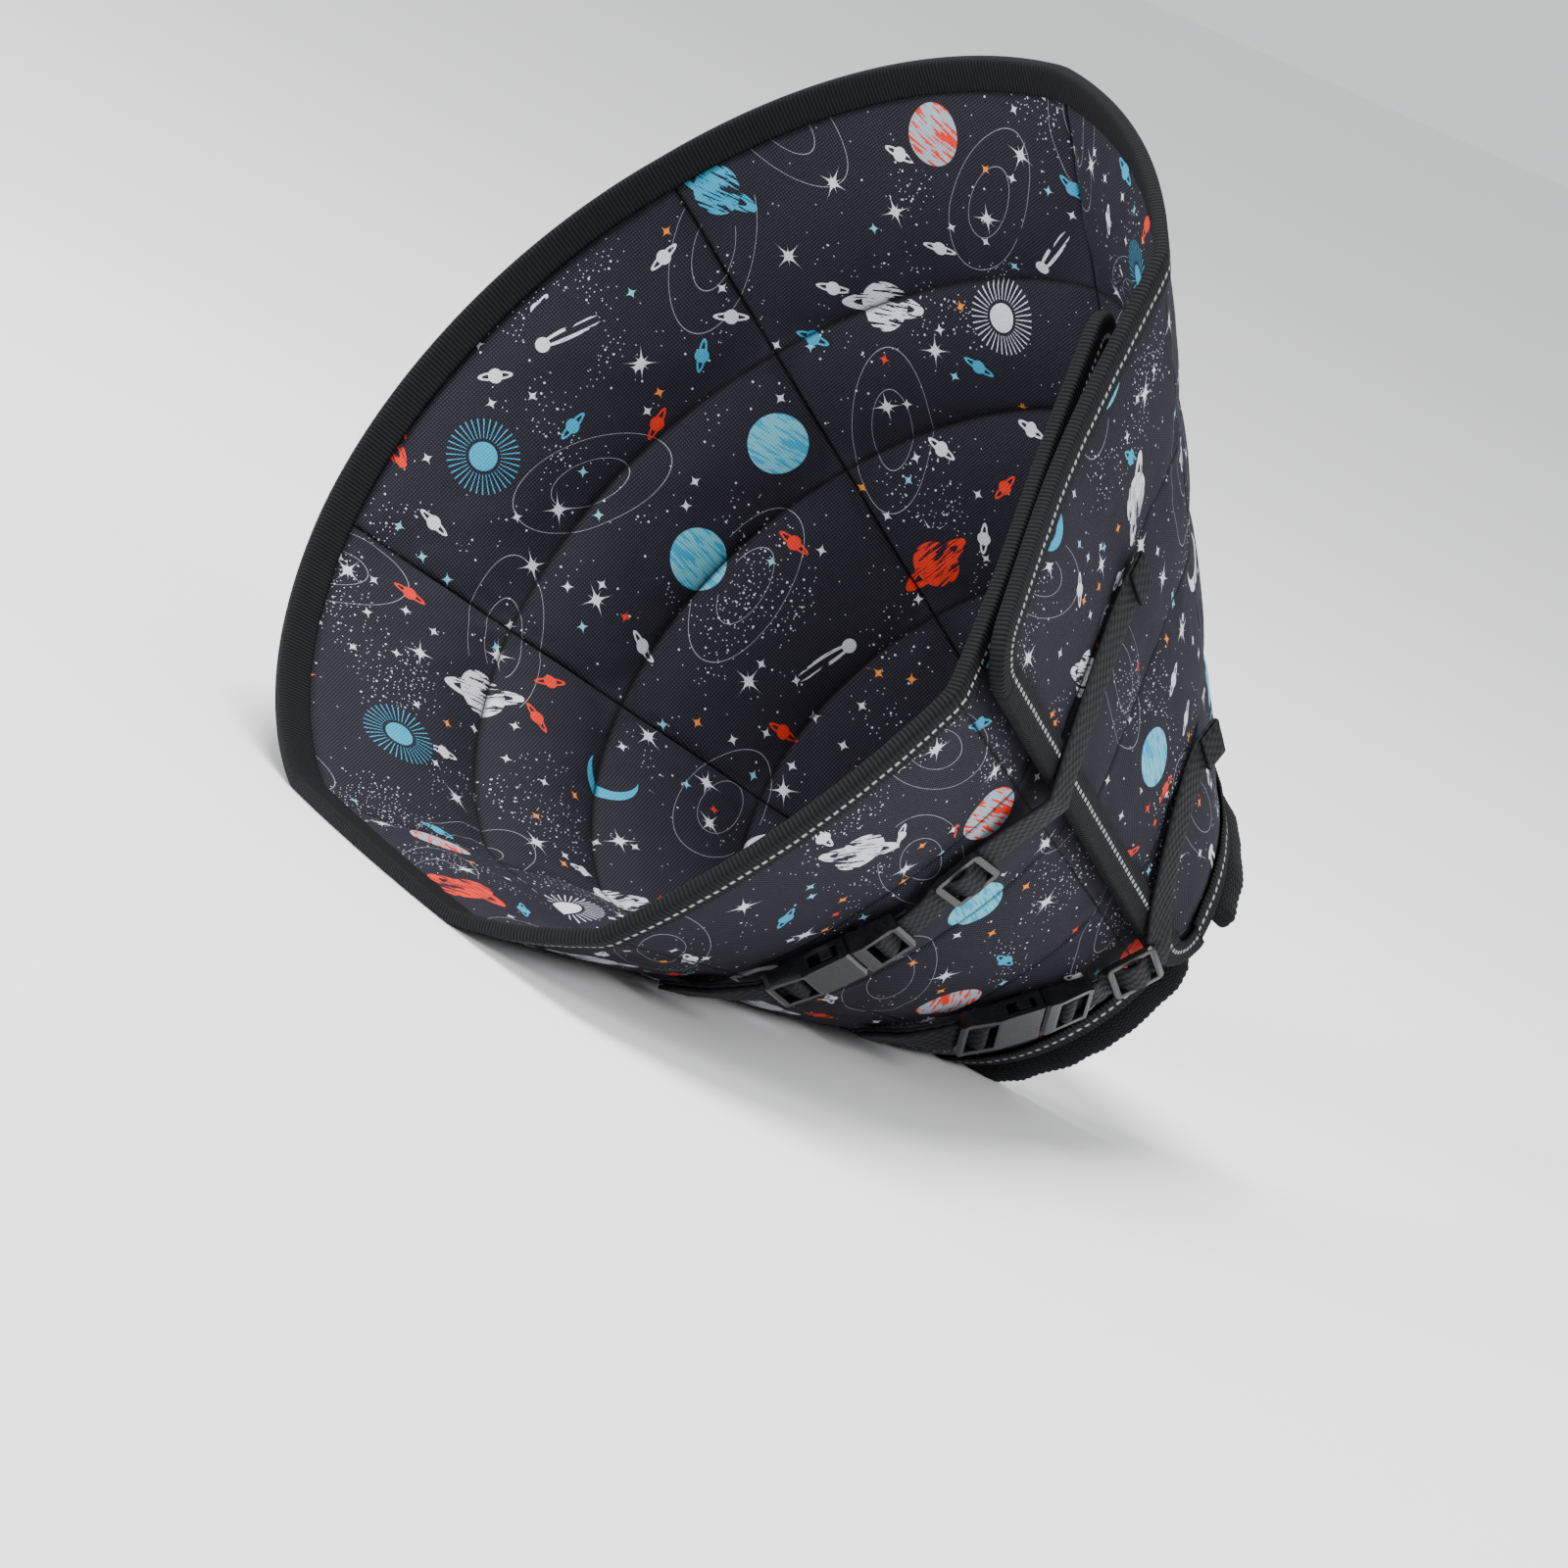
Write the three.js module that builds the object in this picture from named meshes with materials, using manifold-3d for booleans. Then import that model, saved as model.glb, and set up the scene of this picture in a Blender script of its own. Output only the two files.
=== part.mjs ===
// Soft recovery cone for a large dog: a padded, quilted fan of printed woven cloth, wrapped into a
// seven-sided cone and closed over itself by two webbing straps with side-release buckles. Tape binds
// its edges, and a rib-knit collar with a drawcord closes on the neck. It lies on its side at rest.
// Millimetres, +Z up, the mouth towards -Y and the neck towards +Y.
import * as THREE from 'three';
import { mergeVertices } from 'three/addons/utils/BufferGeometryUtils.js';
import Module from 'manifold-3d';

const wasm = await Module();
wasm.setup();

// The cone
const MOUTH_RADIUS = 175;
const NECK_RADIUS = 65;
const CONE_LENGTH = 218;
const NECK_DROP = 6;
const MOUTH_SETTLE = 7;
const NECK_SETTLE = 4;

// The quilted wall
const PAD = 5.4;
const SEAM = 2.2;
const PAD_ROUNDNESS = 0.5;
const FOLD_STEPS = 6;
const ROW_STEPS = 4;

// The tape on the edges
const TAPE_WIDTH = 10;
const TAPE = 1;
const TAPE_GAP = 0.4;
const CLEARANCE = 0.3;
const CORNER_RADIUS = 12;
const FLAP_CORNER_RADIUS = 18;
const CORNER_STEPS = 4;

// The knit collar
const KNIT = 3.2;
const KNIT_LENGTH = 12;
const KNIT_TUCK = 9;
const KNIT_START = -103;
const KNIT_END = 246;
const KNIT_CHANNEL = 0.4;

// Webbing, buckles and slides
const WEBBING_WIDTH = 15;
const WEBBING = 1.3;
const WEBBING_HEM = 10;
const SEWN_RETURN = 12;
const BUCKLE_WIDTH = 21;
const BUCKLE_HEIGHT = 7;
const SOCKET_LENGTH = 17;
const PLUG_LENGTH = 5;
const PRONG_LENGTH = 14;
const PRONG_WIDTH = 3.4;
const PRONG_BULGE = 1.2;
const TONGUE_WIDTH = 3;
const TONGUE_LENGTH = 11;
const BUCKLE_WALL = 1.6;
const CHAMFER = 1;
const WAIST = 0.5;
const RIM = 2.4;
const BAR = 2.4;
const WIDE_SLOT = 4.6;
const NARROW_SLOT = 3.2;
const SLIDE_SLOT = 5;
const SLIDE_BAR = 3.2;
const SLIDE_HEIGHT = 2.2;
const ROUNDED = 2.5;

// The drawcord and its lock
const CORD = 3.6;
const CORD_SIDES = 8;
const CORD_STEPS = 40;
const CORD_ANGLE = THREE.MathUtils.degToRad(25);
const STRAND_TURNS = [41, 47];
const STRANDS_APART = 5.6;
const LOCK_WIDTH = 13;
const LOCK_LENGTH = 13;
const LOCK_HEIGHT = 8;
const LOCK_BUTTON = 3;
const BUTTON_HEAD = 7;
const BUTTON_HEIGHT = 5.2;
const BUTTON_STEM = 3;
const STEM_LENGTH = 1.4;
const RIDGE = 2;

// The folds of the fan, in order from the edge that ends up inside to the edge of the flap outside.
// turn: degrees round the cone, clockwise as one looks into the mouth, from the line it lies on.
// reach: share of the mouth radius at the fold. middle: the same, half way to the next fold.
// neck: share of the neck radius at the fold.
const FOLDS = [
  { turn: -145.5, reach: 0.855, middle: 0.8, neck: 0.84 },
  { turn: -88, reach: 0.977, middle: 0.989, neck: 1 },
  { turn: -44, reach: 1.045, middle: 0.953, neck: 1 },
  { turn: 14, reach: 0.944, middle: 0.962, neck: 1 },
  { turn: 62, reach: 0.99, middle: 1.006, neck: 1 },
  { turn: 117.5, reach: 0.998, middle: 1.008, neck: 1 },
  { turn: 173.5, reach: 1.032, middle: 1.003, neck: 1 },
  { turn: 212, reach: 0.975, middle: 0.838, neck: 1 },
  { turn: 268, reach: 1.0, neck: 1.12 },
];

// The seams that run round the cone, as shares of the way from the mouth to the neck.
const RING_SEAMS = [0, 0.31, 0.5, 0.74, 1];

const START = FOLDS[0].turn;
const END = FOLDS[FOLDS.length - 1].turn;
const HALF_SEAM = SEAM / 2;
const TAPE_INSIDE = HALF_SEAM + TAPE_GAP;
const TAPE_OUTSIDE = TAPE_INSIDE + TAPE;
const PAST_TAPE = TAPE + CLEARANCE * 2;
const UNDER_TAPE = TAPE_WIDTH + CLEARANCE * 4;
const ON_PAD = PAD / 2 + CLEARANCE + WEBBING / 2;

// Shape of the cone

function foldBefore(turn) {
  let i = 0;
  while (i < FOLDS.length - 2 && turn > FOLDS[i + 1].turn) i += 1;
  return i;
}

function shareOfPanel(turn) {
  const i = foldBefore(turn);
  return (turn - FOLDS[i].turn) / (FOLDS[i + 1].turn - FOLDS[i].turn);
}

function mouthReach(turn) {
  const i = foldBefore(turn);
  const u = shareOfPanel(turn);
  const start = FOLDS[i].reach * (1 - u) * (1 - 2 * u);
  const middle = 4 * FOLDS[i].middle * u * (1 - u);
  const end = FOLDS[i + 1].reach * u * (2 * u - 1);
  return MOUTH_RADIUS * (start + middle + end);
}

function neckReach(turn) {
  const i = foldBefore(turn);
  return NECK_RADIUS * THREE.MathUtils.lerp(FOLDS[i].neck, FOLDS[i + 1].neck, shareOfPanel(turn));
}

function outward(turn) {
  const angle = THREE.MathUtils.degToRad(turn);
  return new THREE.Vector3(-Math.sin(angle), 0, -Math.cos(angle));
}

function mouthPoint(turn) {
  return outward(turn).multiplyScalar(mouthReach(turn));
}

function neckPoint(turn) {
  return outward(turn).multiplyScalar(neckReach(turn)).add(new THREE.Vector3(0, CONE_LENGTH, -NECK_DROP));
}

function slant(turn) {
  return mouthPoint(turn).distanceTo(neckPoint(turn));
}

// The cone lies on the line at turn 0, pressed flat a little at the mouth and at the neck.
const MOUTH_LOW = mouthReach(0) + TAPE_OUTSIDE - MOUTH_SETTLE;
const NECK_LOW = neckReach(0) + TAPE_OUTSIDE + NECK_DROP - NECK_SETTLE;
const TILT = Math.atan2(MOUTH_LOW - NECK_LOW, CONE_LENGTH);

function laidDown(point) {
  const laid = point.clone();
  laid.z += MOUTH_LOW;
  return laid.applyAxisAngle(new THREE.Vector3(1, 0, 0), -TILT);
}

// Middle of the wall, down: millimetres from the mouth's edge along the wall. Past the neck's tape the
// knit runs on along the cone's axis.
function middle(turn, down) {
  const length = slant(turn);
  const onCone = Math.min(down, length + PAST_TAPE);
  const point = mouthPoint(turn).lerp(neckPoint(turn), onCone / length);
  point.y += down - onCone;
  return laidDown(point);
}

function wallFrame(turn, down) {
  const step = 0.5;
  const inside = THREE.MathUtils.clamp(turn, START + step, END - step);
  const onCloth = Math.min(down, slant(turn));
  const along = middle(inside + step, onCloth).sub(middle(inside - step, onCloth)).normalize();
  const toNeck = middle(turn, CONE_LENGTH).sub(middle(turn, 0)).normalize();
  const out = new THREE.Vector3().crossVectors(along, toNeck).normalize();
  return { along, toNeck, out };
}

// A point at a height above the middle of the wall. Where the cone lies on the floor, the whole
// thickness moves up until the tape's outer face is level with it.
function onWall(turn, down, height) {
  const { out } = wallFrame(turn, down);
  const centre = middle(turn, down);
  const tapeFace = centre.z + out.z * TAPE_OUTSIDE;
  const point = centre.addScaledVector(out, height);
  point.z = Math.max(point.z + Math.max(-tapeFace, 0), 0);
  return point;
}

// Meshes

function closed(geometry) {
  geometry.deleteAttribute('normal');
  geometry.deleteAttribute('uv');
  return mergeVertices(geometry, 1e-5);
}

function bend(geometry, place) {
  const solid = closed(geometry);
  const positions = solid.attributes.position;
  const local = new THREE.Vector3();
  for (let i = 0; i < positions.count; i += 1) {
    const point = place(local.fromBufferAttribute(positions, i));
    positions.setXYZ(i, point.x, point.y, point.z);
  }
  return solid;
}

function toManifold(geometry) {
  const solid = geometry.attributes.normal ? closed(geometry) : geometry;
  const vertProperties = new Float32Array(solid.attributes.position.array);
  const triVerts = new Uint32Array(solid.index.array);
  return new wasm.Manifold(new wasm.Mesh({ numProp: 3, vertProperties, triVerts }));
}

function fromManifold(solid) {
  const mesh = solid.getMesh();
  const geometry = new THREE.BufferGeometry();
  geometry.setAttribute('position', new THREE.BufferAttribute(mesh.vertProperties, 3));
  geometry.setIndex(new THREE.BufferAttribute(mesh.triVerts, 1));
  return geometry;
}

function named(name, geometry, { color, roughness }) {
  const mesh = new THREE.Mesh(geometry, new THREE.MeshStandardMaterial({ color, roughness, metalness: 0 }));
  mesh.name = name;
  return mesh;
}

// The lines that the fan is divided on, each way. A column keeps its turn, or its distance from an
// end of the fan.

function radiusAt(turn, down) {
  return THREE.MathUtils.lerp(mouthReach(turn), neckReach(turn), Math.min(down / slant(turn), 1));
}

function turnOver(length, turn, down) {
  return THREE.MathUtils.radToDeg(length / radiusAt(turn, down));
}

function cornerDistances(radius) {
  const distances = [UNDER_TAPE];
  for (let i = 0; i <= CORNER_STEPS; i += 1) {
    distances.push(radius * (1 - Math.sin((i / CORNER_STEPS) * (Math.PI / 2))));
  }
  return distances.sort((a, b) => a - b);
}

function columns() {
  const list = cornerDistances(CORNER_RADIUS).map((fromStart) => ({ fromStart }));
  const clearOfStart = START + turnOver(CORNER_RADIUS, START, CONE_LENGTH) + 1;
  const clearOfEnd = END - turnOver(FLAP_CORNER_RADIUS, END, CONE_LENGTH) - 1;
  for (let i = 0; i < FOLDS.length - 1; i += 1) {
    for (let k = 0; k < FOLD_STEPS; k += 1) {
      const turn = THREE.MathUtils.lerp(FOLDS[i].turn, FOLDS[i + 1].turn, k / FOLD_STEPS);
      if (turn > clearOfStart && turn < clearOfEnd) list.push({ turn });
    }
  }
  cornerDistances(FLAP_CORNER_RADIUS).reverse().forEach((fromEnd) => list.push({ fromEnd }));
  return list;
}

function columnTurn(column, down) {
  if (column.fromStart !== undefined) return START + turnOver(column.fromStart, START, down);
  if (column.fromEnd !== undefined) return END - turnOver(column.fromEnd, END, down);
  return column.turn;
}

function setback(distance, radius) {
  if (distance === undefined || distance >= radius) return 0;
  return radius - Math.sqrt(radius * radius - (radius - distance) ** 2);
}

function cornerSetback(column) {
  return setback(column.fromStart, CORNER_RADIUS) + setback(column.fromEnd, FLAP_CORNER_RADIUS);
}

// Rows as shares of the slant, with a row just inside the tape at the mouth and at the neck.
function rows() {
  const tapeShare = UNDER_TAPE / slant(0);
  const list = [0, tapeShare];
  for (let i = 0; i < RING_SEAMS.length - 1; i += 1) {
    for (let k = i === 0 ? 1 : 0; k < ROW_STEPS; k += 1) {
      list.push(THREE.MathUtils.lerp(RING_SEAMS[i], RING_SEAMS[i + 1], k / ROW_STEPS));
    }
  }
  return [...list, 1 - tapeShare, 1];
}

const COLUMNS = columns();
const ROWS = rows();

function columnLength(column) {
  return slant(columnTurn(column, CONE_LENGTH / 2));
}

function placeOnFan(column, share) {
  const start = cornerSetback(column);
  const end = columnLength(column) - start;
  const down = THREE.MathUtils.lerp(start, end, share);
  return { turn: columnTurn(column, down), down };
}

// Share of the way between two seams, where the outermost ones are the inner edges of the tape.
function shareBetween(fromSeam, toSeam) {
  const [near, far] = [Math.max(fromSeam, 0), Math.max(toSeam, 0)];
  return near + far > 0 ? near / (near + far) : 0;
}

function roundness(share) {
  return Math.sin(Math.PI * share) ** PAD_ROUNDNESS;
}

function acrossPanel(turn, down) {
  const i = foldBefore(turn);
  const perDegree = THREE.MathUtils.degToRad(radiusAt(turn, down));
  const before = (turn - FOLDS[i].turn) * perDegree - (i === 0 ? UNDER_TAPE : 0);
  const after = (FOLDS[i + 1].turn - turn) * perDegree - (i === FOLDS.length - 2 ? UNDER_TAPE : 0);
  return shareBetween(before, after);
}

function acrossRow(share) {
  const tape = ROWS[1];
  let row = 0;
  while (row < RING_SEAMS.length - 2 && share > RING_SEAMS[row + 1] + 1e-6) row += 1;
  const before = share - Math.max(RING_SEAMS[row], tape);
  const after = Math.min(RING_SEAMS[row + 1], 1 - tape) - share;
  return shareBetween(before, after);
}

// Thickness of the fan: thin at its seams and under the tape, full between them.
function thickness(turn, down, share) {
  return SEAM + (PAD - SEAM) * roundness(acrossPanel(turn, down)) * roundness(acrossRow(share));
}

function quiltedFan() {
  const across = COLUMNS.length - 1;
  const along = ROWS.length - 1;
  const box = new THREE.BoxGeometry(across, along, 1, across, along, 1);
  return bend(box, (local) => {
    const column = COLUMNS[Math.round(local.x + across / 2)];
    const share = ROWS[Math.round(local.y + along / 2)];
    const { turn, down } = placeOnFan(column, share);
    return onWall(turn, down, local.z * thickness(turn, down, share));
  });
}

function shapeOf(points) {
  const outline = points.map(([x, y]) => new THREE.Vector2(x, y));
  return new THREE.Shape(THREE.ShapeUtils.isClockWise(outline) ? outline.reverse() : outline);
}

function extruded(shape, depth, steps = 1) {
  return new THREE.ExtrudeGeometry(shape, { depth, steps, bevelEnabled: false, curveSegments: 4 });
}

// Tape folded over an edge of the fan. Each station is a place on the edge and the way into the cloth.

const TAPE_SHAPE = shapeOf([
  [TAPE_WIDTH, TAPE_INSIDE],
  [TAPE_WIDTH, TAPE_OUTSIDE],
  [-CLEARANCE - TAPE / 2, TAPE_OUTSIDE],
  [-CLEARANCE - TAPE, TAPE_OUTSIDE - TAPE],
  [-CLEARANCE - TAPE, TAPE - TAPE_OUTSIDE],
  [-CLEARANCE - TAPE / 2, -TAPE_OUTSIDE],
  [TAPE_WIDTH, -TAPE_OUTSIDE],
  [TAPE_WIDTH, -TAPE_INSIDE],
  [-CLEARANCE, -TAPE_INSIDE],
  [-CLEARANCE, TAPE_INSIDE],
]);

function foldedTape(stations) {
  const steps = stations.length - 1;
  return bend(extruded(TAPE_SHAPE, steps, steps), (local) => {
    const { turn, down, inTurn, inDown } = stations[Math.round(local.z)];
    const inside = down + inDown * local.x;
    return onWall(turn + turnOver(inTurn * local.x, turn, inside), inside, local.y);
  });
}

// A quarter turn round a corner of the fan, from the mouth or the neck to the side.
function cornerStations(atEnd, atNeck) {
  const radius = atEnd ? FLAP_CORNER_RADIUS : CORNER_RADIUS;
  return cornerDistances(radius).filter((distance) => distance <= radius).reverse().map((distance) => {
    const angle = Math.asin(1 - distance / radius);
    const column = atEnd ? { fromEnd: distance } : { fromStart: distance };
    const back = radius * (1 - Math.cos(angle));
    const down = atNeck ? columnLength(column) - back : back;
    const inTurn = Math.sin(angle) * (atEnd ? -1 : 1);
    const inDown = Math.cos(angle) * (atNeck ? -1 : 1);
    return { turn: columnTurn(column, down), down, inTurn, inDown };
  });
}

function endStations(atNeck) {
  const straight = COLUMNS.filter(({ turn }) => turn !== undefined).map(({ turn }) => (
    { turn, down: atNeck ? slant(turn) : 0, inTurn: 0, inDown: atNeck ? -1 : 1 }
  ));
  const first = cornerStations(false, atNeck).reverse();
  const stations = [...first, ...straight, ...cornerStations(true, atNeck)];
  return atNeck ? stations.reverse() : stations;
}

// The side tapes lie between the corners, a hair's breadth short of the other two.
function sideStations(atEnd) {
  const column = atEnd ? { fromEnd: 0 } : { fromStart: 0 };
  const from = cornerSetback(column) + CLEARANCE;
  const to = columnLength(column) - from;
  const stations = ROWS.map((share) => {
    const down = THREE.MathUtils.lerp(from, to, share);
    return { turn: columnTurn(column, down), down, inTurn: atEnd ? -1 : 1, inDown: 0 };
  });
  return atEnd ? stations : stations.reverse();
}

// The rib-knit collar, doubled over and sewn inside the neck's tape

const KNIT_TOP = -TAPE_OUTSIDE - CLEARANCE;
const KNIT_SHAPE = shapeOf([
  [-KNIT_TUCK, KNIT_TOP - KNIT * 0.6],
  [-KNIT_TUCK, KNIT_TOP],
  [PAST_TAPE, KNIT_TOP],
  [PAST_TAPE, TAPE_OUTSIDE - KNIT * 0.5],
  [KNIT_LENGTH * 0.35, TAPE_OUTSIDE],
  [KNIT_LENGTH * 0.8, TAPE_OUTSIDE],
  [KNIT_LENGTH, TAPE_OUTSIDE - KNIT * 0.35],
  [KNIT_LENGTH, TAPE_OUTSIDE - KNIT * 0.9],
  [KNIT_LENGTH * 0.7, TAPE_OUTSIDE - KNIT * 1.4],
  [PAST_TAPE, KNIT_TOP - KNIT],
]);

function knitCollar() {
  const turns = COLUMNS.map(({ turn }) => turn).filter((turn) => turn > KNIT_START && turn < KNIT_END);
  const stations = [KNIT_START, ...turns, KNIT_END];
  const steps = stations.length - 1;
  return bend(extruded(KNIT_SHAPE, steps, steps), (local) => {
    const turn = stations[Math.round(local.z)];
    return onWall(turn, slant(turn) + local.x, local.y);
  });
}

// A strap's line over the cone, from the tab sewn to the wall to the hem sewn to the flap. It runs
// straight from a mark that carries a stiff piece to the next mark.
class StrapLine {
  constructor(marks) {
    this.marks = marks.map(({ turn, share, lift = 0, carries }) => {
      const down = share * slant(turn);
      return { point: onWall(turn, down, ON_PAD + lift), out: wallFrame(turn, down).out, carries };
    });
    this.at = [0];
    this.middleOf = {};
    for (let i = 1; i < this.marks.length; i += 1) {
      this.at.push(this.at[i - 1] + this.marks[i].point.distanceTo(this.marks[i - 1].point));
      const { carries } = this.marks[i - 1];
      if (carries) this.middleOf[carries] = (this.at[i - 1] + this.at[i]) / 2;
    }
    this.marks.forEach((mark, i) => this.head(mark, i));
  }

  head(mark, i) {
    const before = this.marks[Math.max(i - 1, 0)];
    const after = this.marks[Math.min(i + 1, this.marks.length - 1)];
    const from = mark.carries ? mark : before;
    const to = before.carries && before !== mark ? mark : after;
    mark.along = to.point.clone().sub(from.point).normalize();
    mark.face = from.out.clone().add(to.out).normalize();
  }

  frame(distance) {
    let i = 0;
    while (i < this.marks.length - 2 && distance > this.at[i + 1]) i += 1;
    const u = (distance - this.at[i]) / (this.at[i + 1] - this.at[i]);
    const [before, after] = [this.marks[i], this.marks[i + 1]];
    const point = before.point.clone().lerp(after.point, u);
    const along = before.along.clone().lerp(after.along, u).normalize();
    const face = before.face.clone().lerp(after.face, u);
    const across = new THREE.Vector3().crossVectors(along, face).normalize();
    const out = new THREE.Vector3().crossVectors(across, along);
    return { point, along, out, across };
  }

  // Bends a flat strip, x along the line and y away from the cloth, over the cone.
  lay(strip) {
    return bend(strip, (local) => {
      const { point, out, across } = this.frame(local.x);
      return point.addScaledVector(out, local.y).addScaledVector(across, local.z);
    });
  }

  place(mesh, distance) {
    const { point, along, out, across } = this.frame(distance);
    mesh.applyMatrix4(new THREE.Matrix4().makeBasis(along, out, across).setPosition(point));
    return mesh;
  }

  // A level stretch of a path at a height, with a point at each mark between its ends.
  level(from, to, height) {
    const inside = this.at.filter((mark) => (mark - from) * (mark - to) < 0);
    if (to < from) inside.reverse();
    return [from, ...inside, to].map((x) => [x, height]);
  }
}

// Flat strips and plates: x along the strap, y away from the cloth and z across the strap, with y 0
// at the middle of the webbing.

const FACE = WEBBING / 2;
const HALF_WEBBING = WEBBING_WIDTH / 2;
const HALF_WIDTH = BUCKLE_WIDTH / 2;
const HALF_PASSAGE = HALF_WEBBING + CLEARANCE * 2;

function plate(outline, [bottom, top]) {
  return toManifold(extruded(shapeOf(outline), top - bottom).rotateX(Math.PI / 2).translate(0, top, 0));
}

function sideways(profile, halfWidth) {
  return toManifold(extruded(shapeOf(profile), halfWidth * 2).translate(0, 0, -halfWidth));
}

function block([left, right], [bottom, top], halfWidth) {
  const box = new THREE.BoxGeometry(right - left, top - bottom, halfWidth * 2);
  return toManifold(box.translate((left + right) / 2, (bottom + top) / 2, 0));
}

// Outline with the same points on both sides of the strap's middle.
function bothSides(points) {
  return [...points, ...points.map(([x, z]) => [x, -z]).reverse()];
}

// The two halves of the buckle. In both, the open loop for the webbing is at the end where x is
// largest: a rim over the webbing and a round bar that the webbing turns round.

const LOOP_LENGTH = RIM + WIDE_SLOT + BAR + NARROW_SLOT;
const HALF_BUCKLE = LOOP_LENGTH + (SOCKET_LENGTH + PLUG_LENGTH) / 2;
const BAR_PLACE = HALF_BUCKLE - RIM - WIDE_SLOT - BAR / 2;
const WRAP = BAR / 2 + CLEARANCE + FACE;
const BAR_HEIGHT = FACE + CLEARANCE + WRAP;
const LAYER = WEBBING + CLEARANCE;
const RIM_BOTTOM = LAYER + FACE + CLEARANCE;
const BUCKLE_TOP = BUCKLE_HEIGHT - FACE;
const LOOP_START = HALF_BUCKLE - LOOP_LENGTH;

function withLoop(body) {
  const through = [-BUCKLE_HEIGHT, BUCKLE_HEIGHT * 2];
  const window = block([LOOP_START, HALF_BUCKLE - RIM], through, HALF_PASSAGE);
  const passage = block([LOOP_START, HALF_BUCKLE + 1], [-BUCKLE_HEIGHT, RIM_BOTTOM], HALF_PASSAGE);
  const bar = new THREE.CylinderGeometry(BAR / 2, BAR / 2, HALF_PASSAGE * 2 + 1, 10);
  bar.rotateX(Math.PI / 2).translate(BAR_PLACE, BAR_HEIGHT, 0);
  return body.subtract(window).subtract(passage).add(toManifold(bar));
}

// Seen from its side, the buckle is full height at its body and lower at the rim.
function buckleBody(outline, from) {
  const profile = [
    [from, -FACE],
    [HALF_BUCKLE, -FACE],
    [HALF_BUCKLE, RIM_BOTTOM + RIM - CHAMFER],
    [HALF_BUCKLE - CHAMFER, RIM_BOTTOM + RIM],
    [HALF_BUCKLE - RIM - CHAMFER, RIM_BOTTOM + RIM],
    [LOOP_START - CHAMFER, BUCKLE_TOP],
    [from + CHAMFER, BUCKLE_TOP],
    [from, BUCKLE_TOP - CHAMFER],
  ];
  return plate(outline, [-FACE, BUCKLE_TOP]).intersect(sideways(profile, HALF_WIDTH + 1));
}

// Outline of the loop's side, from the waist where it meets the body to its rounded corner.
function loopSide() {
  return [
    [LOOP_START, HALF_WIDTH - WAIST],
    [HALF_BUCKLE - ROUNDED, HALF_WIDTH],
    [HALF_BUCKLE - ROUNDED * 0.3, HALF_WIDTH - ROUNDED * 0.3],
    [HALF_BUCKLE, HALF_WIDTH - ROUNDED],
  ];
}

function buckleSocket() {
  const face = LOOP_START - SOCKET_LENGTH + CLEARANCE;
  const outline = bothSides([
    [face, HALF_WIDTH - CHAMFER],
    [face + CHAMFER, HALF_WIDTH],
    [LOOP_START - PRONG_WIDTH, HALF_WIDTH],
    ...loopSide(),
  ]);
  const cavityHeights = [BUCKLE_WALL - FACE, BUCKLE_TOP - BUCKLE_WALL];
  const cavity = block([face - 1, LOOP_START - BUCKLE_WALL], cavityHeights, HALF_WIDTH - BUCKLE_WALL);
  const windows = block([face + 3, face + PRONG_LENGTH - 1], cavityHeights, HALF_WIDTH + 1);
  return fromManifold(withLoop(buckleBody(outline, face)).subtract(cavity).subtract(windows));
}

// Outer edge of a prong. ahead: distance from the plug's face. out: distance past the side of the
// socket's hollow.
const INTO_PLUG = 1;
const PRONG_EDGE = [
  { ahead: -INTO_PLUG, out: -0.6 },
  { ahead: 4, out: 0 },
  { ahead: 5.5, out: BUCKLE_WALL + PRONG_BULGE },
  { ahead: 9, out: BUCKLE_WALL + PRONG_BULGE },
  { ahead: 11, out: 0 },
  { ahead: PRONG_LENGTH, out: -1.6 },
];

function bucklePlug() {
  const face = LOOP_START - PLUG_LENGTH;
  const outline = bothSides([
    [face, HALF_WIDTH - CHAMFER],
    [face + CHAMFER * 2, HALF_WIDTH],
    ...loopSide(),
  ]);
  const heights = [BUCKLE_WALL + CLEARANCE - FACE, BUCKLE_TOP - BUCKLE_WALL - CLEARANCE];
  const side = HALF_WIDTH - BUCKLE_WALL - CLEARANCE * 2;
  const inner = side - PRONG_WIDTH;
  const prong = [
    [face + INTO_PLUG, inner],
    ...PRONG_EDGE.map(({ ahead, out }) => [face - ahead, side + out]),
    [face - PRONG_LENGTH, inner],
  ];
  const prongs = plate(prong, heights).add(plate(prong.map(([x, z]) => [x, -z]), heights));
  const tongue = block([face - TONGUE_LENGTH, face + INTO_PLUG], heights, TONGUE_WIDTH / 2);
  return fromManifold(withLoop(buckleBody(outline, face)).add(prongs).add(tongue));
}

const SLIDE_HALF = RIM + SLIDE_SLOT + SLIDE_BAR / 2;
const SLIDE_BOTTOM = FACE + CLEARANCE;
const SLIDE_TOP = SLIDE_BOTTOM + SLIDE_HEIGHT;
const OVER_SLIDE = SLIDE_TOP + CLEARANCE + FACE;

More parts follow.
